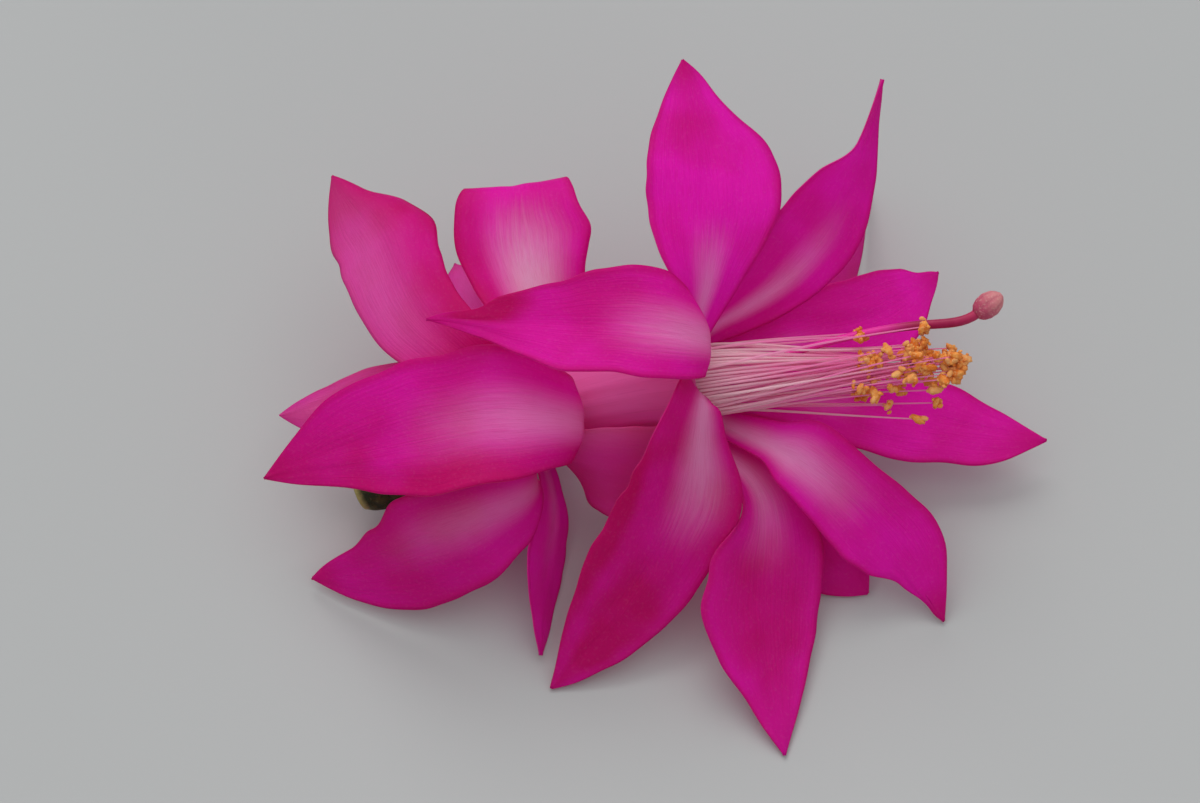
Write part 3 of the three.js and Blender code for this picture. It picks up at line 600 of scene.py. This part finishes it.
def blade_sheet(tepal, rng):
    """A blade's middle surface: shares along and across, points, and the inner normal along the midrib."""
    shares, places, along, inner = midrib_frames(tepal)
    turn = np.radians(blend(tepal["turn"], shares))[:, None]
    inner = inner * np.cos(turn) + np.cross(inner, along) * np.sin(turn)
    across = np.cross(inner, along)
    s, t = np.meshgrid(shares, np.linspace(-1, 1, BLADE_STRIPS + 1), indexing="ij")
    left_curl = tepal.get("left_curl", tepal["curl"])
    curl = np.radians(np.where(t < 0, blend(left_curl, s), blend(tepal["curl"], s)))
    curl = np.where(np.abs(curl) < LEAST_CURL, LEAST_CURL, curl)
    edges = [1 + ROUGH_EDGE * waves(rng, s, *EDGE_WAVES) for _ in range(2)]
    half = np.where(t < 0, half_width(tepal, s, "left"), half_width(tepal, s, "right"))
    half = half * np.where(t < 0, *edges)
    aside = half * np.sin(curl * t) / curl
    raised = half * (1 - np.cos(curl * t)) / curl + unevenness(rng, s, t)
    sheet = places[:, None] + across[:, None] * aside[..., None] + inner[:, None] * raised[..., None]
    return s, t, sheet, inner


def tepal_body(tepal, rng):
    """Rings round a blade, and for each of their points its share along and across, and 1 if outside."""
    s, t, sheet, inner = blade_sheet(tepal, rng)
    normal = unit(np.cross(np.gradient(sheet, axis=0), np.gradient(sheet, axis=1)))
    normal = normal * np.sign((normal * inner[:, None]).sum(-1, keepdims=True).mean())
    thick = (BLADE_THICKNESS + (EDGE_THICKNESS - BLADE_THICKNESS) * np.abs(t) ** 1.5) / 2
    upper = sheet + normal * thick[..., None]
    lower = sheet - normal * thick[..., None]
    rings = np.concatenate([lower, upper[:, ::-1]], axis=1)
    marks = [np.concatenate([mark, mark[:, ::-1]], axis=1) for mark in (s, t)]
    outside = np.concatenate([np.ones_like(s), np.zeros_like(s)], axis=1)
    return rings, [*marks, outside]


def make_tepal(name, tepal, index):
    rng = np.random.default_rng(TEPAL_SEED + index)
    rings, marks = tepal_body(tepal, rng)
    points, faces = skin(rings)
    marks = list(zip(("along", "across", "outer"), map(with_caps, marks)))
    obj = mesh_object(name + "_blade", points, faces, tepal_material(name, LOOKS[name], index), marks)
    finish_piece(obj, "tepal", name)


# Materials. Where a noise follows the place on the part, its scale is per metre. A bump's distance is in
# metres.

class Graph:
    """A material's node tree, with short ways to add to it."""

    def __init__(self, name):
        self.material = bpy.data.materials.new(name)
        self.material.use_nodes = True
        self.tree = self.material.node_tree
        self.tree.nodes.clear()
        self.output = self.tree.nodes.new("ShaderNodeOutputMaterial")

    def node(self, kind, inputs=None, **settings):
        node = self.tree.nodes.new("ShaderNode" + kind)
        for key, value in settings.items():
            setattr(node, key, value)
        for key, value in (inputs or {}).items():
            self.put(node.inputs[key], value)
        return node

    def put(self, socket, value):
        if isinstance(value, bpy.types.NodeSocket):
            self.tree.links.new(value, socket)
        elif isinstance(value, tuple) and socket.type == "RGBA":
            socket.default_value = (*value, 1)
        else:
            socket.default_value = value

    def mark(self, name):
        return self.node("Attribute", attribute_name=name).outputs["Fac"]

    def math(self, operation, a, b=0.0):
        return self.node("Math", {0: a, 1: b}, operation=operation).outputs[0]

    def ramp(self, value, low, high, to_low=0.0, to_high=1.0):
        """The value from low to high, mapped smoothly to to_low to to_high."""
        inputs = {"Value": value, "From Min": low, "From Max": high, "To Min": to_low, "To Max": to_high}
        return self.node("MapRange", inputs, interpolation_type="SMOOTHSTEP").outputs["Result"]

    def vector(self, x, y, z=0.0):
        return self.node("CombineXYZ", {0: x, 1: y, 2: z}).outputs[0]

    def place(self):
        return self.node("TexCoord").outputs["Object"]

    def noise(self, vector, scale, detail=2.0, rough=0.5):
        inputs = {"Vector": vector, "Scale": scale, "Detail": detail, "Roughness": rough}
        return self.node("TexNoise", inputs).outputs["Fac"]

    def mix(self, share, a, b):
        node = self.node("Mix", {"Factor": share}, data_type="RGBA")
        self.put(node.inputs[6], a)
        self.put(node.inputs[7], b)
        return node.outputs[2]

    def bump(self, height, strength, distance, normal=None):
        inputs = {"Height": height, "Strength": strength, "Distance": distance}
        if normal is not None:
            inputs["Normal"] = normal
        return self.node("Bump", inputs).outputs["Normal"]

    def principled(self, colour, roughness, normal, **sockets):
        inputs = {"Base Color": colour, "Roughness": roughness, "Normal": normal}
        shader = self.node("BsdfPrincipled", inputs)
        for key, value in sockets.items():
            self.put(shader.inputs[key.replace("_", " ")], value)
        return shader.outputs[0]

    def finish(self, shader, through=None, share=0.0):
        """Ends the tree in the shader, or in a mix of it with light that comes through."""
        if through is not None:
            glow = self.node("BsdfTranslucent", {"Color": through}).outputs[0]
            shader = self.node("MixShader", {0: share, 1: shader, 2: glow}).outputs[0]
        self.tree.links.new(shader, self.output.inputs[0])
        return self.material


def tepal_material(name, looks, index):
    """Thin magenta tissue: pale along the middle from the base, veined lengthwise, deeper at the margin."""
    g = Graph(name)
    along, across, outer = g.mark("along"), g.mark("across"), g.mark("outer")
    lengthwise = g.vector(g.math("MULTIPLY", across, 3.0), g.math("MULTIPLY", along, 0.55), float(index))
    veins = g.noise(lengthwise, 8.0, 4.0, 0.6)
    fine = g.noise(lengthwise, 30.0, 3.0, 0.6)
    clouds = g.noise(g.place(), 130.0, 2.0)
    cells = g.noise(g.place(), 3400.0, 1.0)
    wander = g.math("MULTIPLY", g.math("SUBTRACT", veins, 0.5), 0.12)
    # Painted shade: the blade's depth, in part, and its dusky places darken the tissue and the light
    # through it.
    shade = tone_and_painted_shade(g, looks, along, across, g.math("ADD", clouds, wander))
    body = g.mix(shade, BRIGHT, DEEP)
    body = g.mix(rim_share(g, looks, along, across), body, EDGE)
    body = g.mix(pale_zone(g, looks, along, across, wander), body, looks.get("pale_colour", PALE))
    body = g.mix(g.ramp(fine, 0.42, 0.72, 0.0, 0.25), body, DEEP)
    body = g.mix(g.ramp(cells, 0.5, 0.8, 0.0, 0.04), body, PALE)
    body = g.mix(g.math("MULTIPLY", outer, 0.12), body, PALE)
    rough = g.ramp(fine, 0.2, 0.8, 0.40, 0.58)
    normal = tissue_normal(g, fine, veins, clouds, cells)
    shader = g.principled(body, rough, normal, Specular_IOR_Level=0.14)
    return g.finish(shader, g.mix(0.5, body, g.mix(shade, THROUGH, THROUGH_DEEP)), THROUGH_SHARE)


def tone_and_painted_shade(g, looks, along, across, cloudy):
    """How far the tissue goes towards the deep colour, with random tone and painted shade."""
    shade = g.math("ADD", g.ramp(cloudy, 0.7, 0.3, -0.12, 0.25), looks["depth"])
    for patch in looks.get("painted_shade", ()):
        shade = g.math("ADD", shade, painted_shade_place(g, patch, along, across))
    return shade


def rim_share(g, looks, along, across):
    """How far the tissue goes towards the colour of the margins and the tip."""
    margin = g.ramp(g.math("ABSOLUTE", across), 0.82, 1.0, 0.0, 0.7)
    tip = g.ramp(along, 0.84, 1.0, 0.0, looks.get("tip", 0.6))
    return g.math("MAXIMUM", margin, tip)


def tissue_normal(g, fine, veins, clouds, cells):
    """The surface normal over fine lines, veins, soft bulges and the cells of the skin."""
    normal = g.bump(fine, 0.25, 0.00008)
    normal = g.bump(veins, 0.4, 0.00028, normal)
    normal = g.bump(clouds, 0.3, 0.0006, normal)
    return g.bump(cells, 0.35, 0.00005, normal)


def pale_zone(g, looks, along, across, wander):
    """How far the tissue goes towards its pale colour."""
    off_middle = g.math("ABSOLUTE", g.math("SUBTRACT", across, looks.get("lean", 0.0)))
    in_reach = g.ramp(g.math("ADD", along, wander), looks.get("full", 0.1), looks["reach"], 1.0, 0.0)
    in_width = g.ramp(g.math("ADD", off_middle, wander), 0.0, looks.get("spread", 0.6), 1.0, 0.0)
    zone = g.math("MULTIPLY", in_reach, in_width)
    if "start" in looks:
        zone = g.math("MULTIPLY", zone, g.ramp(along, 0.4 * looks["start"], looks["start"]))
    return g.math("MULTIPLY", zone, looks["pale"])


def painted_shade_place(g, patch, along, across):
    """How much deeper the tissue is painted in one dusky place, a patch of painted shade."""
    at, side, length, width, depth = patch
    far_along = g.math("DIVIDE", g.math("SUBTRACT", along, at), length)
    far_across = g.math("DIVIDE", g.math("SUBTRACT", across, side), width)
    squares = g.math("ADD", g.math("POWER", g.math("ABSOLUTE", far_along), 2.0),
                     g.math("POWER", g.math("ABSOLUTE", far_across), 2.0))
    return g.ramp(squares, 0.0, 1.0, depth, 0.0)


def tube_material():
    """Pink, a little paler on top, with darker lines along it."""
    g = Graph("tube")
    along, across, up = g.mark("along"), g.mark("across"), g.mark("up")
    lengthwise = g.vector(g.math("MULTIPLY", across, 9.0), g.math("MULTIPLY", along, 0.7))
    lines = g.noise(lengthwise, 6.0, 4.0, 0.6)
    soft = g.math("MULTIPLY", g.math("SUBTRACT", lines, 0.5), 0.8)
    hues = TUBE_COLOURS
    colour = g.mix(g.ramp(g.math("ADD", up, soft), -0.3, 0.95), hues["below"], hues["above"])
    colour = g.mix(g.ramp(lines, 0.5, 0.72, 0.0, 0.3), colour, hues["line"])
    normal = g.bump(lines, 0.25, 0.00012)
    shader = g.principled(colour, 0.45, normal, Specular_IOR_Level=0.15)
    return g.finish(shader, hues["through"], 0.4)


def ovary_material():
    """Waxy green-brown, redder towards the tube and pale round the broken end."""
    g = Graph("ovary")
    along = g.mark("along")
    blotch = g.noise(g.place(), 900.0, 4.0, 0.6)
    specks = g.noise(g.place(), 3200.0, 2.0)
    hues = OVARY_COLOURS
    colour = g.mix(g.ramp(blotch, 0.35, 0.65), hues["dark"], hues["light"])
    colour = g.mix(g.ramp(along, 0.5, 1.0, 0.0, 0.8), colour, hues["top"])
    from_break = g.math("ADD", along, g.math("MULTIPLY", blotch, 0.06))
    colour = g.mix(g.ramp(from_break, 0.03, 0.12, 1.0, 0.0), colour, hues["broken"])
    colour = g.mix(g.ramp(specks, 0.6, 0.75, 0.0, 0.5), colour, hues["speck"])
    normal = g.bump(specks, 0.3, 0.00012)
    normal = g.bump(blotch, 0.5, 0.0004, normal)
    return g.finish(g.principled(colour, 0.45, normal, Specular_IOR_Level=0.2))


def filament_material():
    """Threads that are cream near the mouth and pinker towards the anthers, each a little different."""
    g = Graph("filament")
    along, each = g.mark("along"), g.mark("each")
    pink = g.math("ADD", along, g.math("MULTIPLY", g.math("SUBTRACT", each, 0.5), 0.5))
    hues = FILAMENT_COLOURS
    colour = g.mix(g.ramp(pink, 0.3, 0.95), hues["cream"], hues["pink"])
    streak = g.noise(g.place(), 1500.0, 2.0)
    colour = g.mix(g.ramp(streak, 0.4, 0.8, 0.0, 0.2), colour, hues["streak"])
    normal = g.bump(streak, 0.2, 0.00004)
    shader = g.principled(colour, 0.35, normal, Specular_IOR_Level=0.25)
    return g.finish(shader, hues["through"], 0.6)


def anther_material():
    """Grainy pollen, orange with paler grains."""
    g = Graph("anther")
    each = g.mark("each")
    grains = g.noise(g.place(), 5200.0, 2.0, 0.7)
    patches = g.noise(g.place(), 1400.0, 2.0)
    hues = ANTHER_COLOURS
    colour = g.mix(g.ramp(patches, 0.35, 0.65), hues["dark"], hues["orange"])
    colour = g.mix(g.ramp(each, 0.3, 1.0, 0.0, 0.5), colour, hues["pale"])
    colour = g.mix(g.ramp(grains, 0.5, 0.75, 0.0, 0.6), colour, hues["grain"])
    shader = g.principled(colour, 0.75, g.bump(grains, 0.7, 0.0001), Specular_IOR_Level=0.15)
    return g.finish(shader, hues["through"], 0.12)


def style_material():
    """Magenta inside the brush, dark red from there on."""
    g = Graph("style")
    along = g.mark("along")
    lines = g.noise(g.place(), 1300.0, 3.0)
    hues = STYLE_COLOURS
    colour = g.mix(g.ramp(along, 0.80, 0.88), hues["inside"], hues["outside"])
    colour = g.mix(g.ramp(along, 0.93, 1.0), colour, hues["end"])
    colour = g.mix(g.ramp(lines, 0.45, 0.75, 0.0, 0.35), colour, hues["line"])
    return g.finish(g.principled(colour, 0.4, g.bump(lines, 0.3, 0.0001), Specular_IOR_Level=0.25))


def stigma_material():
    """Pink and velvety: painted shade at its base and in its grooves, a painted highlight at its end."""
    g = Graph("stigma")
    along, groove = g.mark("along"), g.mark("across")
    papillae = g.noise(g.place(), 4200.0, 2.0, 0.7)
    hues = STIGMA_COLOURS
    # Painted light: darker at the base and lighter at the end, with painted shade in the grooves.
    colour = g.mix(g.ramp(along, 0.1, 0.9), hues["base"], hues["end"])
    colour = g.mix(g.ramp(groove, 0.0, 1.0, 0.0, 0.3), colour, hues["groove"])
    colour = g.mix(g.ramp(papillae, 0.5, 0.75, 0.0, 0.5), colour, hues["papilla"])
    shader = g.principled(colour, 0.6, g.bump(papillae, 0.6, 0.00012), Specular_IOR_Level=0.25)
    return g.finish(shader, hues["through"], 0.15)


# Tube and ovary

def core_rings(shares, radii, sides):
    frames = [core_frame(share) for share in shares]
    middles, _, side, up = (np.array(column) for column in zip(*frames))
    return circles(middles, side, up, radii, sides)


def ripples(angle, kinds):
    """The sum of waves round a body."""
    return sum(height * np.cos(count * angle + phase) for height, count, phase in kinds)


def make_tube():
    sides, steps = 96, 60
    start = TUBE_RADII[0][0]
    shares = np.linspace(start, 1, steps + 1)
    tube_shares = (shares - start) / (1 - start)
    angle = 2 * math.pi * np.arange(sides) / sides
    flare = MOUTH_FLARE * np.clip((shares - FLARE_FROM) / (1 - FLARE_FROM), 0, 1) ** 2
    fading = np.sin(math.pi * tube_shares).clip(0)[:, None] ** 0.5
    flutes = FLUTE_DEPTH * ripples(angle, FLUTES) * fading
    radii = (smooth_read(TUBE_RADII, shares) + flare)[:, None] + flutes
    outer = core_rings(shares, radii, sides)
    inner = core_rings(shares[::-1], radii[::-1] - TUBE_WALL, sides)
    rings = np.concatenate([outer, inner])
    points, faces = skin(rings, closed=True)
    along = np.repeat(np.concatenate([tube_shares, tube_shares[::-1]]), sides)
    across = np.tile(np.abs(angle - math.pi) / math.pi, len(rings))
    marks = [("along", along), ("across", across), ("up", np.tile(np.sin(angle), len(rings)))]
    tube = mesh_object("floral_tube_skin", points, faces, tube_material(), marks)
    finish_piece(tube, "tube", "floral_tube")


def make_ovary():
    sides, steps = 64, 56
    shares = np.linspace(0, OVARY_RADII[-1][0], steps + 1)
    angle = 2 * math.pi * np.arange(sides) / sides
    ribs = ripples(angle, RIBS) * np.sin(math.pi * shares / shares[-1])[:, None]
    radii = smooth_read(OVARY_RADII, shares, 0.012)[:, None] + ribs
    rings = core_rings(shares, radii, sides)
    along = core_frame(0)[1]
    rim = rings[:1]
    middle = rim.mean(1, keepdims=True)
    hollow = [middle * (1 - size) + rim * size + along * depth for size, depth in BROKEN_END]
    rings = np.concatenate([*hollow, rings])
    points, faces = skin(rings)
    values = np.concatenate([[0] * len(BROKEN_END), shares / shares[-1]])
    marks = [("along", with_caps(np.repeat(values[:, None], sides, axis=1)))]
    finish_piece(mesh_object("ovary_skin", points, faces, ovary_material(), marks), "ovary", "ovary")


# Stamens

def bundle_angle(anther):
    """An anther's angle round the middle of the bundle, in degrees from the style's."""
    angle = math.degrees(math.atan2(anther[2] - BUNDLE_MIDDLE[2], anther[1] - BUNDLE_MIDDLE[1]))
    return (angle - STYLE_ANGLE + 720) % 360


def bundle_offset(anther):
    return math.hypot(anther[1] - BUNDLE_MIDDLE[1], anther[2] - BUNDLE_MIDDLE[2])


def filament_paths(anthers, ring, rng):
    """The points that each thread passes, from its root on the ring to its anther."""
    in_order = sorted(anthers, key=bundle_angle)
    paths = []
    for i, anther in enumerate(in_order):
        turn = (1 - EVENLY) * bundle_angle(anther) / 360 + EVENLY * i / (len(in_order) - 1)
        angle = STYLE_ANGLE + ring["gap"] + (360 - 2 * ring["gap"]) * turn
        roots = [round_core(share, angle, radius) for share, radius in ring["through"]]
        last = np.array(anther)
        arch = ARCH_HEIGHT if anther in ARCHING_ANTHERS else 0.0
        scatter = rng.normal(0, BOW_SCATTER, 3) * (0.3, 1, 1)
        bow = roots[-1] + (last - roots[-1]) * BOW_AT + scatter + (0, 0, arch)
        paths.append([*roots, bow, last])
    return paths


def ball(subdivisions):
    bm = bmesh.new()
    bmesh.ops.create_icosphere(bm, subdivisions=subdivisions, radius=1)
    points = np.array([v.co for v in bm.verts])
    faces = [tuple(v.index for v in face.verts) for face in bm.faces]
    bm.free()
    return points, faces


def grainy(points, rng, grains, height):
    """The points of a ball raised into round grains."""
    middles = unit(rng.normal(size=(grains, 3)))
    raised = np.exp((points @ middles.T - 1) / GRAIN_WIDTH).max(axis=1)
    return points * (1 + height * raised)[:, None]


def anther_clump(place, rng):
    """One pollen sac with loose lumps of pollen on it, as (points, faces) bodies."""
    points, faces = ball(3)
    sac = grainy(points, rng, *SAC_GRAINS) * (ANTHER_LENGTH / 2, ANTHER_RADIUS, ANTHER_RADIUS)
    sac = sac * rng.uniform(*SAC_SIZES)
    bodies = [(turned(sac, rng.uniform(-1.5, 1.5), rng.uniform(-0.9, 0.9)) + place, faces)]
    for _ in range(POLLEN_LUMPS):
        lump = grainy(points, rng, *LUMP_GRAINS) * LUMP_SHAPE * rng.uniform(*LUMP_SIZES)
        lump = turned(lump, rng.uniform(-1.5, 1.5), rng.uniform(-1.5, 1.5))
        offset = rng.normal(0, LUMP_SCATTER, 3).clip(-LUMP_REACH, LUMP_REACH)
        bodies.append((lump + place + offset, faces))
    return bodies


def turned(points, spin, tilt):
    """Points turned about Z by spin and about Y by tilt."""
    c, s = math.cos(tilt), math.sin(tilt)
    points = points @ np.array([[c, 0, -s], [0, 1, 0], [s, 0, c]])
    c, s = math.cos(spin), math.sin(spin)
    return points @ np.array([[c, s, 0], [-s, c, 0], [0, 0, 1]])


def merged(bodies):
    """One list of points and faces from several, with the number of points in each."""
    points, faces, start = [], [], 0
    for body_points, body_faces in bodies:
        points.append(body_points)
        faces.extend(tuple(i + start for i in face) for face in body_faces)
        start += len(body_points)
    return np.vstack(points), faces, [len(p) for p in points]


def all_anthers(rng):
    """Every anther's place, from the outside of the bundle to its middle."""
    anthers = [*ANTHERS, *ARCHING_ANTHERS]
    for middle, spread, count in CLUMPS:
        for _ in range(count):
            offset = rng.normal(size=3).clip(-CLUMP_REACH, CLUMP_REACH) * spread
            anthers.append(tuple(np.array(middle) + offset))
    return sorted(anthers, key=bundle_offset, reverse=True)


def make_stamens():
    rng = np.random.default_rng(STAMEN_SEED)
    by_offset = all_anthers(rng)
    paths = filament_paths(by_offset[:WALL_STAMENS], WALL_RING, rng)
    paths += filament_paths(by_offset[WALL_STAMENS:], OVARY_RING, rng)
    threads, along = [], []
    for path in paths:
        rings, shares = rod(smooth_curve(path), FILAMENT_RADII, FILAMENT_STEPS, FILAMENT_SIDES)
        threads.append(skin(rings))
        along.append(with_caps(np.repeat(shares[:, None], FILAMENT_SIDES, axis=1)))
    points, faces, counts = merged(threads)
    marks = [("along", np.concatenate(along)), ("each", np.repeat(rng.random(len(threads)), counts))]
    filaments = mesh_object("filaments", points, faces, filament_material(), marks)
    finish_piece(filaments, "stamen", *[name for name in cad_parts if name.startswith("stamen")])
    bodies = [body for path in paths for body in anther_clump(path[-1], rng)]
    points, faces, counts = merged(bodies)
    marks = [("each", np.repeat(rng.random(len(bodies)), counts))]
    finish_piece(mesh_object("anthers", points, faces, anther_material(), marks), "stamen")


# Style and stigma

def make_style():
    path = [core_at(share)[0] for share in STYLE_FROM] + STYLE_POINTS
    rings, shares = rod(smooth_curve(path), STYLE_RADII, STYLE_STEPS, STYLE_SIDES)
    points, faces = skin(rings)
    marks = [("along", with_caps(np.repeat(shares[:, None], STYLE_SIDES, axis=1)))]
    finish_piece(mesh_object("style_thread", points, faces, style_material(), marks), "style", "style")


def make_stigma():
    sides, steps = 84, 36
    start, end = np.array(STIGMA_FROM), np.array(STIGMA_TO)
    shares = np.linspace(0, 1, steps + 1)
    along = unit(end - start)
    across = unit(np.cross((0.0, 1.0, 0.0), along))
    angle = 2 * math.pi * np.arange(sides) / sides
    groove = np.abs(np.cos(STIGMA_LOBES * angle / 2)) ** 6
    depth = GROOVE_DEPTH * np.sin(math.pi * np.clip(shares, 0.05, 1)) ** 0.5
    radii = smooth_read(STIGMA_RADII, shares)[:, None] * (1 - groove * depth[:, None])
    middles = start + (end - start) * shares[:, None]
    ones = np.ones((steps + 1, 1))
    rings = circles(middles, ones * across, ones * np.cross(along, across), radii, sides)
    points, faces = skin(rings)
    marks = [
        ("along", with_caps(np.repeat(shares[:, None], sides, axis=1))),
        ("across", with_caps(np.repeat(groove[None], steps + 1, axis=0))),
    ]
    finish_piece(mesh_object("stigma_knob", points, faces, stigma_material(), marks), "stigma", "stigma")


# Camera, floor and light

def make_camera():
    data = bpy.data.cameras.new("camera")
    data.lens = LENS
    data.sensor_width = SENSOR
    data.sensor_fit = "HORIZONTAL"
    data.clip_start = NEAREST_SEEN
    data.clip_end = FURTHEST_SEEN
    camera = bpy.data.objects.new("camera", data)
    tilt = math.radians(CAMERA_ELEVATION)
    camera.location = (TARGET + CAMERA_DISTANCE * np.array([0, -math.cos(tilt), math.sin(tilt)])) * MM
    camera.rotation_euler = (math.pi / 2 - tilt, 0, 0)
    bpy.context.scene.collection.objects.link(camera)
    bpy.context.scene.camera = camera


def make_floor():
    g = Graph("floor")
    tone = g.mix(g.ramp(g.noise(g.place(), 6.0), 0.3, 0.7), *FLOOR_TONES)
    normal = g.bump(g.noise(g.place(), 900.0), 0.05, 0.0001)
    shader = g.principled(tone, 0.85, normal, Specular_IOR_Level=0.15)
    mesh = bpy.data.meshes.new("floor")
    size = FLOOR_HALF_SIZE
    corners = [(-size, -size, 0), (size, -size, 0), (size, size, 0), (-size, size, 0)]
    mesh.from_pydata(corners, [], [(0, 1, 2, 3)])
    mesh.materials.append(g.finish(shader))
    floor = bpy.data.objects.new("floor", mesh)
    bpy.context.scene.collection.objects.link(floor)


def make_daylight(name, strength, angle, towards):
    data = bpy.data.lights.new(name, "SUN")
    data.energy = strength
    data.angle = angle
    data.color = DAYLIGHT_COLOUR
    sun = bpy.data.objects.new(name, data)
    sun.rotation_euler = Vector(towards).to_track_quat("-Z", "Y").to_euler()
    bpy.context.scene.collection.objects.link(sun)


def make_light():
    world = bpy.data.worlds.new("sky")
    world.use_nodes = True
    sky = world.node_tree.nodes["Background"]
    sky.inputs["Color"].default_value = (*SKY_COLOUR, 1)
    sky.inputs["Strength"].default_value = SKY_STRENGTH
    bpy.context.scene.world = world
    for name, facts in DAYLIGHT.items():
        make_daylight(name, **facts)
    view = bpy.context.scene.view_settings
    view.view_transform = "Standard"
    view.look = "None"


make_camera()
make_floor()
make_light()
for number, (tepal_name, tepal_facts) in enumerate(TEPALS.items()):
    make_tepal(tepal_name, tepal_facts, number)
make_tube()
make_ovary()
make_stamens()
make_style()
make_stigma()
